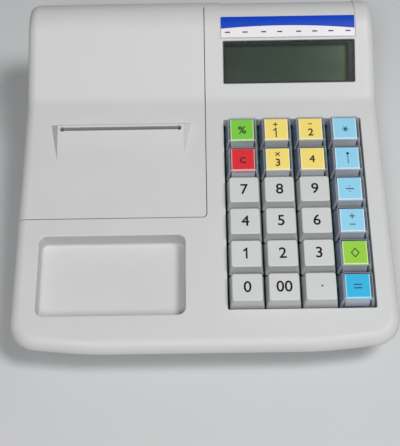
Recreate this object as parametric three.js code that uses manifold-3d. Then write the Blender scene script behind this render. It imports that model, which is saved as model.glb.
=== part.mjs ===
// A desktop ticket register: a wedge-shaped case with a sprung keyboard, a display, a coin
// tray and a hinged cover over a paper roll and a small printer. Millimetres, +Z up, the front
// faces -Y, and the origin lies on the table under the middle of the case.
import * as THREE from "three";
import { mergeVertices } from "three/addons/utils/BufferGeometryUtils.js";
import Module from "manifold-3d";

const wasm = await Module();
wasm.setup();

// Driving dimensions of the case
const caseWidth = 203.4;
const caseDepth = 211.3;
const frontHeight = 26.1; // sharp front edge of the deck above the table
const deckAngle = THREE.MathUtils.degToRad(9);
const displayAngle = THREE.MathUtils.degToRad(35);
const slopeRun = 62.65; // bend to the rear of the case
const bendRadius = 14;
const crownRadius = 19;
const edgeRadius = 5.5;
const frontCornerRadius = 15.4;
const frontFlatMargin = 51.7; // straight middle of the front edge to the case's side
const frontBowRadius = 200; // the front edge bends back on both sides of it
const frontSweep = THREE.MathUtils.degToRad(6.3);
const rearCornerRadius = 11;
const sideDraft = THREE.MathUtils.degToRad(2.9);
const wall = 2.4;
const lipHeight = 20.5; // lower rim of the upper housing
const footHeight = 3;
const gap = 0.3; // between pieces that touch
const seam = 0.4; // between the cover and the housing
const over = 5; // how far a cutter runs past what it cuts

// Lower case
const baseInset = 1.2;
const baseBottomInset = 3.5;
const baseFrontInset = 11; // the front wall slants back towards the floor
const baseFrontCornerRadius = 12;
const baseRearCornerRadius = 8;

// Keyboard
const keyColumns = 4;
const keyRows = 6;
const keyboardOuterMargin = 12; // opening to the case's side
const keyboardInnerMargin = 10.2; // opening to the cover's right edge
const keyboardFrontMargin = 21.05; // opening to the front edge, along the deck
const keyboardRearMargin = 13.95; // opening to the bend, along the deck
const keyboardMargin = 0.6;
const keyTravel = 3.5;
const keyClearance = 1; // above the switch when the key is down
const keyGap = 0.85; // between the skirts of two keys
const keySideTaper = 2.5; // how much narrower a key is at its top
const keyLengthTaper = 3.1;
const keyTopShift = -0.75;
const keyTopHeight = 7.1;
const keySkirtDepth = 3;
const keySkirtHeight = 0.6;
const keyBaseCorner = 1.2;
const keyTopCorner = 2;
const keyTopRound = 0.7;
const keyWall = 1.2;
const stemWidth = 4;
const stemReach = 1.3; // how far a stem stands in its switch when the key is up
const labelSideInset = 2.7;
const labelLengthInset = 1.3;
const labelCorner = 0.8;
const wellWall = 1.6;
const wellMargin = 0.5; // the well reaches this far below a pressed key

// Main board with the key switches
const boardSideGap = 1.3; // to the partition of the printer bay
const boardSideMargin = 3.9; // past the keyboard's opening
const boardFrontMargin = 8.75;
const boardRearMargin = 10.25;
const boardThickness = 1.6;
const switchWidth = 14;
const switchHeight = 6;
const boardPostRadius = 2;
const boardPostInset = 3.6;
const boardPostSideInset = 7;
const boardPostRightInset = 21; // clear of the front screw's boss
const boardClearance = 1; // round that boss
const chipWidth = 20;
const chipLength = 14;
const chipHeight = 2.4;
const chipPlaceShares = [0.25, 0.55, 0.8];

// Coin tray
const trayOuterMargin = 13.7; // to the case's side
const trayInnerMargin = 11.9; // to the line of the cover's right edge
const trayFront = 18.8;
const trayRearMargin = 10.4; // to the cover's front edge
const trayDepth = 11;
const trayCorner = 4;
const trayWall = 2;

// Display and name strip
const windowShift = 0.6; // left of the keyboard's centre
const windowInset = 1.8; // narrower than the keyboard's opening
const windowFront = 8.6;
const windowLength = 24.6;
const windowCorner = 0.6;
const windowRecess = 0.6;
const windowThickness = 1.6;
const windowLedge = 2.8;
const displayFrameDepth = 6;
const displayFrameMargin = 4;
const lcdThickness = 3;
const lcdMargin = 1.4;
const stripShift = 0.4; // left of the window's centre
const stripExtra = 1.4; // wider than the window
const stripFront = 34.9;
const stripLength = 12.6;
const stripThickness = 0.5;
const stripProud = 0.2;
const channelEnd = THREE.MathUtils.degToRad(118); // where the shallow channel ends on the crown

// Printer cover, its paper ramp and its hinge
const coverRight = 2.1;
const coverDeckLength = 75.6; // front edge of the cover to the bend, along the deck
const coverCorner = 2.4;
const coverSkirtDepth = 15;
const hingeRadius = 2.6;
const hingeDrop = 7; // hinge axis below the crown's centre
const hingeChannel = 0.8;
const hingePinRadius = 1.2;
const knuckleLength = 4.4;
const ledgeWidth = 2.6;
const ledgeThickness = 1.6;
const rampOuterMargin = 20.8; // to the case's side
const rampInnerMargin = 12.3; // to the cover's right edge
const rampLength = 20.1;
const rampRearMargin = 19.4; // to the bend, along the deck
const rampHeight = 5;
const rampSideRun = 4.2;
const rampRearRun = 3.2;
const slotInset = 4.2; // shorter than the ramp's width
const slotWidth = 1.8;
const slotMargin = 2; // in front of the ramp's rear edge

// Printer bay, paper roll and printer
const partitionThickness = 2.4;
const partitionBottom = 9;
const bayFrontMargin = 3;
const rollCoverGap = 4.26; // full roll to the underside of the slope
const rollCore = 6;
const rollInset = 9.5; // narrower than the slot
const rollRearMargin = 6.65; // to the rear of the case
const cradleLeast = 2;
const cradleHalf = 20;
const cradleHeight = 15;
const cradleSpread = 18;
const guideClearance = 1.3;
const guideHeight = 24;
const ribThickness = 2;
const frameOuterMargin = 17.2; // to the case's side
const frameInnerMargin = 10.1; // to the line of the cover's right edge
const frameLength = 42;
const frameRollGap = 1; // to the roll, front to rear
const framePlate = 1.6;
const frameTopGap = 3.35; // under the deck
const frameLift = 2.5;
const framePostRadius = 3;
const framePostInset = 5;
const platenMargin = 20.5; // in front of the frame's rear edge
const platenZ = 30;
const platenRadius = 6;
const platenInset = 12.5; // shorter than the frame
const shaftRadius = 2;
const shaftTail = 2;
const gearWidth = 4;
const gearModule = 0.7;
const gearTeeth = 30;
const pinionTeeth = 12;
const toothTipShare = 0.8; // of the module, past the pitch circle
const toothRootShare = 1.15; // of the module, inside the pitch circle
const tipWidthShare = 0.11; // of the pitch, to each side
const rootWidthShare = 0.31;
const motorAngle = THREE.MathUtils.degToRad(-45);
const motorRadius = 8;
const motorLength = 16;
const motorShaftRadius = 1;
const motorShaftDepth = 10;
const headPlate = 2.1;
const headHeight = 6;
const headEndMargin = 3;

// Screws, feet and the power socket
const screwFrontSideMargin = 21.7;
const screwFrontMargin = 19.65;
const screwRearSideMargin = 16.7;
const screwRearMargin = 15.65;
const screwRadius = 1.4;
const screwHeadRadius = 2.8;
const screwHeadHeight = 1.9;
const screwLength = 11;
const bossRadius = 3.4;
const bossTop = 36;
const baseBossRadius = 5;
const baseBossHeight = 5;
const counterboreDepth = 2.6;
const counterboreClearance = 0.5;
const gussetThickness = 3;
const footRadius = 7;
const footRecess = 1;
const footSideMargin = 27.7;
const footFrontMargin = 35.65;
const footRearMargin = 27.65;
const socketShift = 15; // right of the keyboard's centre
const socketZ = 32;
const socketWidth = 10.2;
const socketDepth = 14;
const socketBore = 3.25;
const socketBoreDepth = 10;
const socketFlange = 1.6;

// Fineness of the round stretches
const cornerSteps = 6;
const bowSteps = 3;
const edgeSteps = 4;
const bendSteps = 4;
const crownSteps = 7;
const plateSteps = 3;
const keySteps = 2;
const roundSides = 20;
const rollSides = 36;
const weld = 1e-4;

// Places that follow from the sizes above
const half = caseWidth / 2;
const frontY = -caseDepth / 2;
const rearY = caseDepth / 2;
const frontFlat = half - frontFlatMargin;
const bendY = rearY - slopeRun;
const deckLength = (bendY - frontY) / Math.cos(deckAngle);
const bendZ = frontHeight + deckLength * Math.sin(deckAngle);
const crownY = rearY - crownRadius;
const crownTangentY = crownY - crownRadius * Math.sin(displayAngle);
const crownTangentZ = bendZ + (crownTangentY - bendY) * Math.tan(displayAngle);
const crownZ = crownTangentZ - crownRadius * Math.cos(displayAngle);
const caseTop = crownZ + crownRadius;
const bendReach = bendRadius * Math.tan((displayAngle - deckAngle) / 2);
const bendCentreY = bendY - bendReach * Math.cos(deckAngle) - bendRadius * Math.sin(deckAngle);
const bendCentreZ = bendZ - bendReach * Math.sin(deckAngle) + bendRadius * Math.cos(deckAngle);
const slopeToCrown = (crownTangentY - bendY) / Math.cos(displayAngle);
const baseFloor = footHeight + wall;
const hingeY = rearY - hingeRadius;
const hingeHeight = crownZ - hingeDrop;

const keyboardLeft = coverRight + keyboardInnerMargin;
const keyboardHalfX = (half - keyboardOuterMargin - keyboardLeft) / 2;
const keyboardHalfY = (deckLength - keyboardFrontMargin - keyboardRearMargin) / 2;
const keyboardX = keyboardLeft + keyboardHalfX;
const keyboardDistance = keyboardFrontMargin + keyboardHalfY;
const columnPitch = (2 * (keyboardHalfX - keyboardMargin)) / keyColumns;
const rowPitch = (2 * (keyboardHalfY - keyboardMargin)) / keyRows;
const keyBaseWidth = columnPitch - keyGap;
const keyBaseLength = rowPitch - keyGap;
const keyTopWidth = keyBaseWidth - keySideTaper;
const keyTopLength = keyBaseLength - keyLengthTaper;
const labelWidth = keyTopWidth - labelSideInset;
const labelLength = keyTopLength - labelLengthInset;
const wellDepth = keySkirtDepth + keyTravel + wellMargin;
const switchDepth = keySkirtDepth + keyTravel + keyClearance;
const boardDepth = switchDepth + switchHeight;
const stemDepth = switchDepth + stemReach;

const coverFront = deckLength - coverDeckLength;
const boardLeft = coverRight + seam / 2 + partitionThickness + boardSideGap;
const boardRight = keyboardX + keyboardHalfX + boardSideMargin;
const boardFront = keyboardDistance - keyboardHalfY - boardFrontMargin;
const boardRear = keyboardDistance + keyboardHalfY + boardRearMargin;
const trayLeft = -half + trayOuterMargin;
const trayRight = coverRight - trayInnerMargin;
const trayRear = coverFront - trayRearMargin;
const windowX = keyboardX - windowShift;
const windowWidth = 2 * keyboardHalfX - windowInset;
const stripX = windowX - stripShift;
const stripWidth = windowWidth + stripExtra;
const stripEnd = (stripFront + stripLength - slopeToCrown) / crownRadius;
const rampLeft = -half + rampOuterMargin;
const rampRight = coverRight - rampInnerMargin;
const rampRear = deckLength - rampRearMargin;
const rampFront = rampRear - rampLength;
const slotX = (rampLeft + rampRight) / 2;
const slotLength = rampRight - rampLeft - slotInset;
const slotDistance = rampRear - slotMargin;
const rollX = slotX;
const rollWidth = slotLength - rollInset;
const rollLow = baseFloor + cradleLeast + gap;
const rollRadius = largestRoll();
const rollY = rearY - rollRearMargin - rollRadius;
const rollZ = rollLow + rollRadius;
const frameLeft = -half + frameOuterMargin;
const frameRight = coverRight - frameInnerMargin;
const frameRear = rollY - rollRadius - frameRollGap;
const frameFront = frameRear - frameLength;
const frameBottom = baseFloor + frameLift;
const frameTop = surfaceHeight(frameFront, wall) - frameTopGap;
const platenX = (frameLeft + frameRight) / 2;
const platenY = frameRear - platenMargin;
const platenLength = frameRight - frameLeft - platenInset;
const screwX = half - screwFrontSideMargin;
const screwFrontY = frontY + screwFrontMargin;
const screwRearX = half - screwRearSideMargin;
const screwRearY = rearY - screwRearMargin;
const footX = half - footSideMargin;
const footFrontY = frontY + footFrontMargin;
const footRearY = rearY - footRearMargin;
const socketX = keyboardX + socketShift;

const onDeck = new THREE.Matrix4()
  .makeTranslation(0, frontY, frontHeight)
  .multiply(new THREE.Matrix4().makeRotationX(deckAngle));
const onSlope = new THREE.Matrix4()
  .makeTranslation(0, bendY, bendZ)
  .multiply(new THREE.Matrix4().makeRotationX(displayAngle));

// Radius of the roll that fits between the cradle, the rear margin and the slope.
function largestRoll() {
  const across = Math.sin(displayAngle);
  const up = Math.cos(displayAngle);
  const reach = (slopeRun - rollRearMargin) * across + (bendZ - rollLow) * up;
  return (reach - wall - rollCoverGap) / (1 + across + up);
}

// A closed geometry as a solid, moved by a matrix first where one is given.
function solid(geometry, matrix) {
  const open = geometry.index ? geometry.toNonIndexed() : geometry;
  const bare = new THREE.BufferGeometry();
  bare.setAttribute("position", open.getAttribute("position").clone());
  if (matrix) bare.applyMatrix4(matrix);
  const merged = mergeVertices(bare, weld);
  const vertProperties = new Float32Array(merged.attributes.position.array);
  const triVerts = new Uint32Array(merged.index.array);
  return new wasm.Manifold(new wasm.Mesh({ numProp: 3, vertProperties, triVerts }));
}

// A solid as a geometry for a mesh.
function geometryOf(shape) {
  const mesh = shape.getMesh();
  const geometry = new THREE.BufferGeometry();
  const position = new Float32Array(mesh.numVert * 3);
  for (let i = 0; i < mesh.numVert; i++) {
    position.set(mesh.vertProperties.subarray(i * mesh.numProp, i * mesh.numProp + 3), i * 3);
  }
  geometry.setAttribute("position", new THREE.BufferAttribute(position, 3));
  geometry.setIndex(new THREE.BufferAttribute(new Uint32Array(mesh.triVerts), 1));
  geometry.computeVertexNormals();
  return geometry;
}

function box(x0, x1, y0, y1, z0, z1, matrix) {
  const geometry = new THREE.BoxGeometry(x1 - x0, y1 - y0, z1 - z0);
  geometry.translate((x0 + x1) / 2, (y0 + y1) / 2, (z0 + z1) / 2);
  return solid(geometry, matrix);
}

// A cylinder along X from x0 to x1.
function rodX(radius, x0, x1, y, z, sides = roundSides) {
  const geometry = new THREE.CylinderGeometry(radius, radius, x1 - x0, sides);
  geometry.rotateZ(Math.PI / 2);
  geometry.translate((x0 + x1) / 2, y, z);
  return solid(geometry);
}

// A cylinder along Z from z0 to z1.
function rodZ(radius, x, y, z0, z1, matrix) {
  const geometry = new THREE.CylinderGeometry(radius, radius, z1 - z0, roundSides);
  geometry.rotateX(Math.PI / 2);
  geometry.translate(x, y, (z0 + z1) / 2);
  return solid(geometry, matrix);
}

// A cylinder along Y from y0 to y1.
function rodY(radius, x, z, y0, y1) {
  const geometry = new THREE.CylinderGeometry(radius, radius, y1 - y0, roundSides);
  geometry.translate(x, (y0 + y1) / 2, z);
  return solid(geometry);
}

// A prism along X whose outline is a list of [y, z] points, anticlockwise seen from +X.
function prismX(points, x0, x1) {
  const shape = new THREE.Shape(points.map(([y, z]) => new THREE.Vector2(y, z)));
  const geometry = new THREE.ExtrudeGeometry(shape, { depth: x1 - x0, bevelEnabled: false });
  const turn = new THREE.Matrix4().set(0, 0, 1, x0, 1, 0, 0, 0, 0, 1, 0, 0, 0, 0, 0, 1);
  return solid(geometry, turn);
}

// The ring of points of a rectangle with round corners: the right side from front to rear,
// then the left side from rear to front, so that opposite points have the same y. Where a flat
// is given, the front edge is straight along it and then bows back on both sides.
function planRing(ring) {
  const { halfWidth, front, rear, frontRadius, rearRadius, stops, steps, flat, bow } = ring;
  const right = [];
  const sweep = flat ? frontSweep : 0;
  const cornerX = halfWidth - frontRadius;
  let cornerY = front + frontRadius;
  if (flat) {
    for (let i = 0; i < bowSteps; i++) {
      const angle = (sweep * i) / bowSteps;
      right.push([flat + bow * Math.sin(angle), front + bow * (1 - Math.cos(angle))]);
    }
    const endX = flat + bow * Math.sin(sweep);
    const endY = front + bow * (1 - Math.cos(sweep));
    cornerY = endY + ((cornerX - endX) * Math.sin(sweep) + frontRadius) / Math.cos(sweep);
    right.push([endX, endY]);
  }
  for (let i = 0; i <= steps; i++) {
    const angle = (sweep - Math.PI / 2) * (1 - i / steps);
    right.push([cornerX + frontRadius * Math.cos(angle), cornerY + frontRadius * Math.sin(angle)]);
  }
  for (const y of stops) right.push([halfWidth, y]);
  for (let i = 0; i <= steps; i++) {
    const angle = (Math.PI / 2) * (i / steps);
    const x = halfWidth - rearRadius + rearRadius * Math.cos(angle);
    right.push([x, rear - rearRadius + rearRadius * Math.sin(angle)]);
  }
  const left = right.map(([x, y]) => [-x, y]).reverse();
  return right.concat(left);
}

// A closed solid through rings of the same count, lowest first, each made as planRing makes it.
function loft(rings, matrix) {
  const count = rings[0].length;
  const last = count / 2 - 1;
  const position = [];
  const triangle = (a, b, c) => position.push(...a, ...b, ...c);
  for (let k = 0; k + 1 < rings.length; k++) {
    for (let i = 0; i < count; i++) {
      const next = (i + 1) % count;
      triangle(rings[k][i], rings[k][next], rings[k + 1][next]);
      triangle(rings[k][i], rings[k + 1][next], rings[k + 1][i]);
    }
  }
  const bottom = rings[0];
  const top = rings[rings.length - 1];
  for (let j = 0; j < last; j++) {
    const across = count - 1 - j;
    triangle(top[j], top[j + 1], top[across - 1]);
    triangle(top[j], top[across - 1], top[across]);
    triangle(bottom[j], bottom[across - 1], bottom[j + 1]);
    triangle(bottom[j], bottom[across], bottom[across - 1]);
  }
  const geometry = new THREE.BufferGeometry();
  geometry.setAttribute("position", new THREE.Float32BufferAttribute(position, 3));
  return solid(geometry, matrix);
}

// Height of the case's upper surface at a depth square to it, for a place y from front to rear.
function surfaceHeight(y, depth) {
  const bend = bendRadius + depth;
  const crown = crownRadius - depth;
  if (y < bendCentreY + bend * Math.sin(deckAngle)) {
    return frontHeight + (y - frontY) * Math.tan(deckAngle) - depth / Math.cos(deckAngle);
  }
  if (y < bendCentreY + bend * Math.sin(displayAngle)) {
    return bendCentreZ - Math.sqrt(bend ** 2 - (y - bendCentreY) ** 2);
  }
  if (y < crownY - crown * Math.sin(displayAngle)) {
    return bendZ + (y - bendY) * Math.tan(displayAngle) - depth / Math.cos(displayAngle);
  }
  return crownZ + Math.sqrt(Math.max(crown ** 2 - (y - crownY) ** 2, 0));
}

// Places along the sides where the upper surface bends.
function sideStops(depth) {
  const stops = [];
  for (let i = 0; i <= bendSteps; i++) {
    const angle = deckAngle + ((displayAngle - deckAngle) * i) / bendSteps;
    stops.push(bendCentreY + (bendRadius + depth) * Math.sin(angle));
  }
  const crown = crownRadius - depth;
  const start = crownY - crown * Math.sin(displayAngle);
  const end = rearY - rearCornerRadius;
  for (let i = 0; i < crownSteps; i++) stops.push(start + ((end - start) * i) / crownSteps);
  return stops;
}

// The case as a block: its walls moved in by the inset, its top lowered by the depth, and a
// round edge of the given radius between them. The sides lean in by the draft.
function caseBlock(depth, inset, bottom, radius) {
  const stops = sideStops(depth);
  const ring = (more, heightOf) => {
    const points = planRing({
      halfWidth: half - inset - more,
      front: frontY + inset + more,
      rear: rearY - inset - more,
      frontRadius: frontCornerRadius - inset - more,
      rearRadius: rearCornerRadius - inset - more,
      stops,
      steps: cornerSteps,
      flat: frontFlat,
      bow: frontBowRadius - inset - more,
    });
    return points.map(([x, y]) => {
      const z = heightOf(y);
      const lean = 1 - (Math.tan(sideDraft) * (z - lipHeight)) / half;
      return [x * lean, y, z];
    });
  };
  const rings = [ring(0, () => bottom)];
  for (let k = 0; k <= edgeSteps; k++) {
    const angle = ((Math.PI / 2) * k) / edgeSteps;
    const drop = radius * (1 - Math.sin(angle));
    const more = radius * (1 - Math.cos(angle));
    rings.push(ring(more, (y) => surfaceHeight(y, depth) - drop));
  }
  return loft(rings);
}

// A rectangle with round corners, extruded from z0 to z1 in its own frame.
function plate(x0, x1, y0, y1, corner, z0, z1, matrix, shrink = 0) {
  const ring = planRing({
    halfWidth: (x1 - x0) / 2 - shrink,
    front: y0 + shrink,
    rear: y1 - shrink,
    frontRadius: corner,
    rearRadius: corner,
    stops: [],
    steps: plateSteps,
  });
  const middle = (x0 + x1) / 2;
  const at = (z) => ring.map(([x, y]) => [middle + x, y, z]);
  return loft([at(z0), at(z1)], matrix);
}

const join = (...shapes) => shapes.reduce((sum, shape) => sum.add(shape));

const outer = caseBlock(0, 0, lipHeight, edgeRadius);
const inner = caseBlock(wall, wall, lipHeight - over, edgeRadius - wall);
const skin = outer.subtract(inner);
const core = caseBlock(wall / 2, wall / 2, footHeight, edgeRadius - wall / 2);
const far = caseDepth + caseWidth; // past the case from any place in it

// The space of the printer cover, smaller all round by the given clearance. Its lower edge on
// the side runs straight to the hinge's axis, so that the cover lifts clear of the housing.
function coverSpace(clearance) {
  const front = new THREE.Vector3(0, coverFront, -coverSkirtDepth).applyMatrix4(onDeck);
  const outline = [
    [front.y - over, front.z + clearance],
    [hingeY, hingeHeight + clearance],
    [rearY + over, hingeHeight + clearance],
    [rearY + over, caseTop + over],
    [frontY, caseTop + over],
    [frontY, front.z + clearance],
  ];
  const side = prismX(outline, -half - over, half);
  const left = -half - over;
  const middle = coverRight - clearance;
  const plan = plate(
    left - coverCorner,
    middle,
    coverFront + clearance,
    far,
    coverCorner,
    -far,
    far,
    onDeck,
  );
  return side.intersect(plan);
}

// The raised paper ramp on the cover, lowered and drawn in by the depth for its hollow.
function paperRamp(depth) {
  const left = rampLeft + depth;
  const right = rampRight - depth;
  const front = rampFront + depth;
  const rear = rampRear - depth;
  const low = -wall / 2 - depth;
  const foot = -depth;
  const top = rampHeight - depth;
  const sideRun = (run) => [left - run, right + run];
  const [footLeft, footRight] = sideRun(rampSideRun);
  const points = [
    [left, front, low],
    [right, front, low],
    [footRight, rear + rampRearRun, low],
    [footLeft, rear + rampRearRun, low],
    [left, front, foot],
    [right, front, foot],
    [footRight, rear + rampRearRun, foot],
    [footLeft, rear + rampRearRun, foot],
    [left, rear, top],
    [right, rear, top],
  ];
  const faces = [
    [0, 2, 1],
    [0, 3, 2],
    [0, 1, 5],
    [0, 5, 4],
    [1, 2, 6],
    [1, 6, 5],
    [2, 3, 7],
    [2, 7, 6],
    [3, 0, 4],
    [3, 4, 7],
    [4, 5, 9],
    [4, 9, 8],
    [5, 6, 9],
    [6, 7, 8],
    [6, 8, 9],
    [7, 4, 8],
  ];
  const geometry = new THREE.BufferGeometry();
  geometry.setAttribute("position", new THREE.Float32BufferAttribute(points.flat(), 3));
  geometry.setIndex(faces.flat());
  return solid(geometry, onDeck);
}

const hingeRod = (radius, x0, x1) => rodX(radius, x0, x1, hingeY, hingeHeight);
const leanAt = (z) => 1 - (Math.tan(sideDraft) * (z - lipHeight)) / half;
const knuckleLeft = -(half - wall) * leanAt(hingeHeight);
const beadLeft = knuckleLeft + knuckleLength;
const beadRight = coverRight - knuckleLength;

function makePrinterCover() {
  let cover = skin.intersect(coverSpace(seam / 2));
  cover = cover.add(paperRamp(0));
  cover = cover.subtract(paperRamp(wall));
  const slotFrom = slotX - slotLength / 2;
  const slotTo = slotX + slotLength / 2;
  const slotFront = slotDistance - slotWidth / 2;
  const slotRear = slotDistance + slotWidth / 2;
  const slotTop = rampHeight + over;
  cover = cover.subtract(box(slotFrom, slotTo, slotFront, slotRear, -over, slotTop, onDeck));
  const clear = hingeRadius + seam;
  cover = cover.subtract(hingeRod(clear, -half, beadLeft + gap));
  cover = cover.subtract(hingeRod(clear, beadRight - gap, half));
  cover = cover.add(hingeRod(hingeRadius, beadLeft + gap, beadRight - gap));
  return cover.subtract(hingeRod(hingePinRadius + gap, -half, half));
}

// Ledges under the cover's right and front edges, following its inner surface.
function coverLedges() {
  const top = caseBlock(wall + gap, wall + gap, lipHeight, edgeRadius - wall - gap);
  const depth = wall + gap + ledgeThickness;
  const under = caseBlock(depth, depth, lipHeight - over, gap);
  const band = top.subtract(under);
  const edge = new THREE.Vector3(0, coverFront, 0).applyMatrix4(onDeck);
  const right = box(
    coverRight - ledgeWidth,
    coverRight + partitionThickness,
    edge.y,
    hingeY - hingeRadius - hingeChannel - gap,
    hingeHeight,
    caseTop,
  );
  const rightFront = box(
    coverRight - ledgeWidth,
    coverRight + partitionThickness,
    coverFront - ledgeWidth,
    deckLength,
    -wall - ledgeThickness - over,
    over,
    onDeck,
  );
  const front = box(
    -half + edgeRadius + wall,
    coverRight + partitionThickness,
    coverFront - ledgeWidth,
    coverFront + ledgeWidth,
    -wall - ledgeThickness - over,
    over,
    onDeck,
  );
  return band.intersect(join(right, rightFront, front));
}

// Walls round the printer bay: one beside the keyboard, one behind the tray.
function bayWalls() {
  const left = coverRight + seam / 2;
  const right = left + partitionThickness;
  const edge = new THREE.Vector3(0, coverFront, 0).applyMatrix4(onDeck);
  const rear = edge.y - bayFrontMargin;
  const front = rear - partitionThickness;
  const baseReach = baseBottomInset + wall;
  const upper = box(left, right, front, rearY, lipHeight, caseTop + over);
  const lower = box(left, right, front, rearY - baseReach, partitionBottom, lipHeight + over);
  const across = box(-half + baseReach, right, front, rear, partitionBottom, edge.z);
  return join(upper, lower, across).intersect(core);
}

function traySpace(extra, top) {
  return plate(
    trayLeft - extra,
    trayRight + extra,
    trayFront - extra,
    trayRear + extra,
    trayCorner + extra,
    -trayDepth - extra,
    top,
    onDeck,
  );
}

function keyboardWell(extra, low, high) {
  return box(
    keyboardX - keyboardHalfX - extra,
    keyboardX + keyboardHalfX + extra,
    keyboardDistance - keyboardHalfY - extra,
    keyboardDistance + keyboardHalfY + extra,
    low,
    high,
    onDeck,
  );
}

const boardPosts = [boardFront + boardPostInset, boardRear - boardPostInset].flatMap((s) => [
  [boardLeft + boardPostSideInset, s],
  [boardRight - boardPostRightInset, s],
]);

const screws = [
  { name: "front_left", x: -screwX, y: screwFrontY },
  { name: "front_right", x: screwX, y: screwFrontY },
  { name: "rear_left", x: -screwRearX, y: screwRearY },
  { name: "rear_right", x: screwRearX, y: screwRearY },
];
const bossBottom = footHeight + baseBossHeight + gap;
const headZ = footHeight + counterboreDepth - gap - screwHeadHeight;
const screwTop = headZ + screwHeadHeight + screwLength;

function housingBosses() {
  const bosses = screws.map(({ x, y }) => {
    if (y < 0) {
      return rodZ(bossRadius, x, y, bossBottom, caseTop);
    }
    const side = Math.sign(x);
    const reach = [x, side * half].sort((a, b) => a - b);
    const low = y - gussetThickness / 2;
    const high = y + gussetThickness / 2;
    const gusset = box(...reach, low, high, lipHeight, bossTop);
    return rodZ(bossRadius, x, y, bossBottom, bossTop).add(gusset);
  });
  return join(...bosses).intersect(core);
}

const screwHoles = () =>
  join(...screws.map(({ x, y }) => rodZ(screwRadius + gap, x, y, 0, screwTop + gap)));

// The region between the strip's lower edge and a line across the crown at the given angle.
function stripRegion(endAngle, start, clearance) {
  const reach = over;
  const low = new THREE.Vector3(0, start - clearance, -reach).applyMatrix4(onSlope);
  const high = new THREE.Vector3(0, start - clearance, reach).applyMatrix4(onSlope);
  const turn = Math.PI / 2 + displayAngle - endAngle;
  const near = crownRadius - reach;
  const far = crownRadius + reach;
  const turnY = Math.cos(turn);
  const turnZ = Math.sin(turn);
  const outline = [
    [low.y, low.z],
    [crownY + near * turnY, crownZ + near * turnZ],
    [crownY + far * turnY, crownZ + far * turnZ],
    [crownY + far * Math.SQRT2 * Math.max(turnY, 0), crownZ + far * Math.SQRT2],
    [high.y, high.z + reach],
    [high.y, high.z],
  ];
  const side = stripWidth / 2 + clearance;
  return prismX(outline, stripX - side, stripX + side);
}

function stripBand(top, bottom) {
  const above = caseBlock(-top, -top, lipHeight, edgeRadius);
  const below = caseBlock(bottom, bottom, lipHeight - over, edgeRadius - bottom);
  return above.subtract(below);
}

function makeTopHousing() {
  let housing = skin.subtract(coverSpace(-seam / 2));
  housing = housing.subtract(hingeRod(hingeRadius + hingeChannel, knuckleLeft, coverRight));
  const displayFrame = box(
    windowX - windowWidth / 2 - displayFrameMargin,
    windowX + windowWidth / 2 + displayFrameMargin,
    windowFront - displayFrameMargin,
    windowFront + windowLength + displayFrameMargin,
    -displayFrameDepth,
    -wall / 2,
    onSlope,
  );
  const posts = boardPosts.map(([x, s]) =>
    rodZ(boardPostRadius, x, s, -boardDepth + gap, -wall / 2, onDeck),
  );
  const knuckleEnd = coverRight + seam / 2 + partitionThickness;
  housing = join(
    housing,
    bayWalls(),
    coverLedges(),
    traySpace(trayWall, -wall / 2),
    keyboardWell(wellWall, -wellDepth, -wall / 2),
    displayFrame,
    housingBosses(),
    ...posts,
    hingeRod(hingeRadius, knuckleLeft - wall / 2, beadLeft),
    hingeRod(hingeRadius, beadRight, knuckleEnd),
  );
  const windowSeat = windowRecess + windowThickness + gap;
  const cuts = [
    hingeRod(hingePinRadius + gap, knuckleLeft, coverRight),
    traySpace(0, over),
    keyboardWell(0, -wellDepth - over, over),
    plate(
      windowX - windowWidth / 2,
      windowX + windowWidth / 2,
      windowFront,
      windowFront + windowLength,
      windowCorner,
      -windowSeat,
      over,
      onSlope,
    ),
    box(
      windowX - windowWidth / 2 + windowLedge,
      windowX + windowWidth / 2 - windowLedge,
      windowFront + windowLedge / 2,
      windowFront + windowLength - windowLedge / 2,
      -displayFrameDepth - over,
      0,
      onSlope,
    ),
    stripBand(over / 2, stripThickness - stripProud + gap).intersect(
      stripRegion(channelEnd, stripFront, gap),
    ),
    screwHoles(),
    box(
      socketX - socketWidth / 2 - gap,
      socketX + socketWidth / 2 + gap,
      rearY - wall - over,
      rearY + over,
      socketZ - socketWidth / 2 - gap,
      socketZ + socketWidth / 2 + gap,
    ),
  ];
  for (const cut of cuts) housing = housing.subtract(cut);
  return housing;
}

// Rings of the lower case: a height, the inset of its sides and the inset of its front.
function baseRings(levels, depth) {
  return levels.map(([z, sideInset, frontInset]) =>
    planRing({
      halfWidth: half - sideInset - depth,
      front: frontY + frontInset + depth,
      rear: rearY - sideInset - depth,
      frontRadius: baseFrontCornerRadius - depth,
      rearRadius: baseRearCornerRadius - depth,
      stops: [],
      steps: cornerSteps,
      flat: frontFlat,
      bow: frontBowRadius - depth,
    }).map(([x, y]) => [x, y, z]),
  );
}

const feet = [
  { name: "front_left", x: -footX, y: footFrontY },
  { name: "front_right", x: footX, y: footFrontY },
  { name: "rear_left", x: -footX, y: footRearY },
  { name: "rear_right", x: footX, y: footRearY },
];

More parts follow.
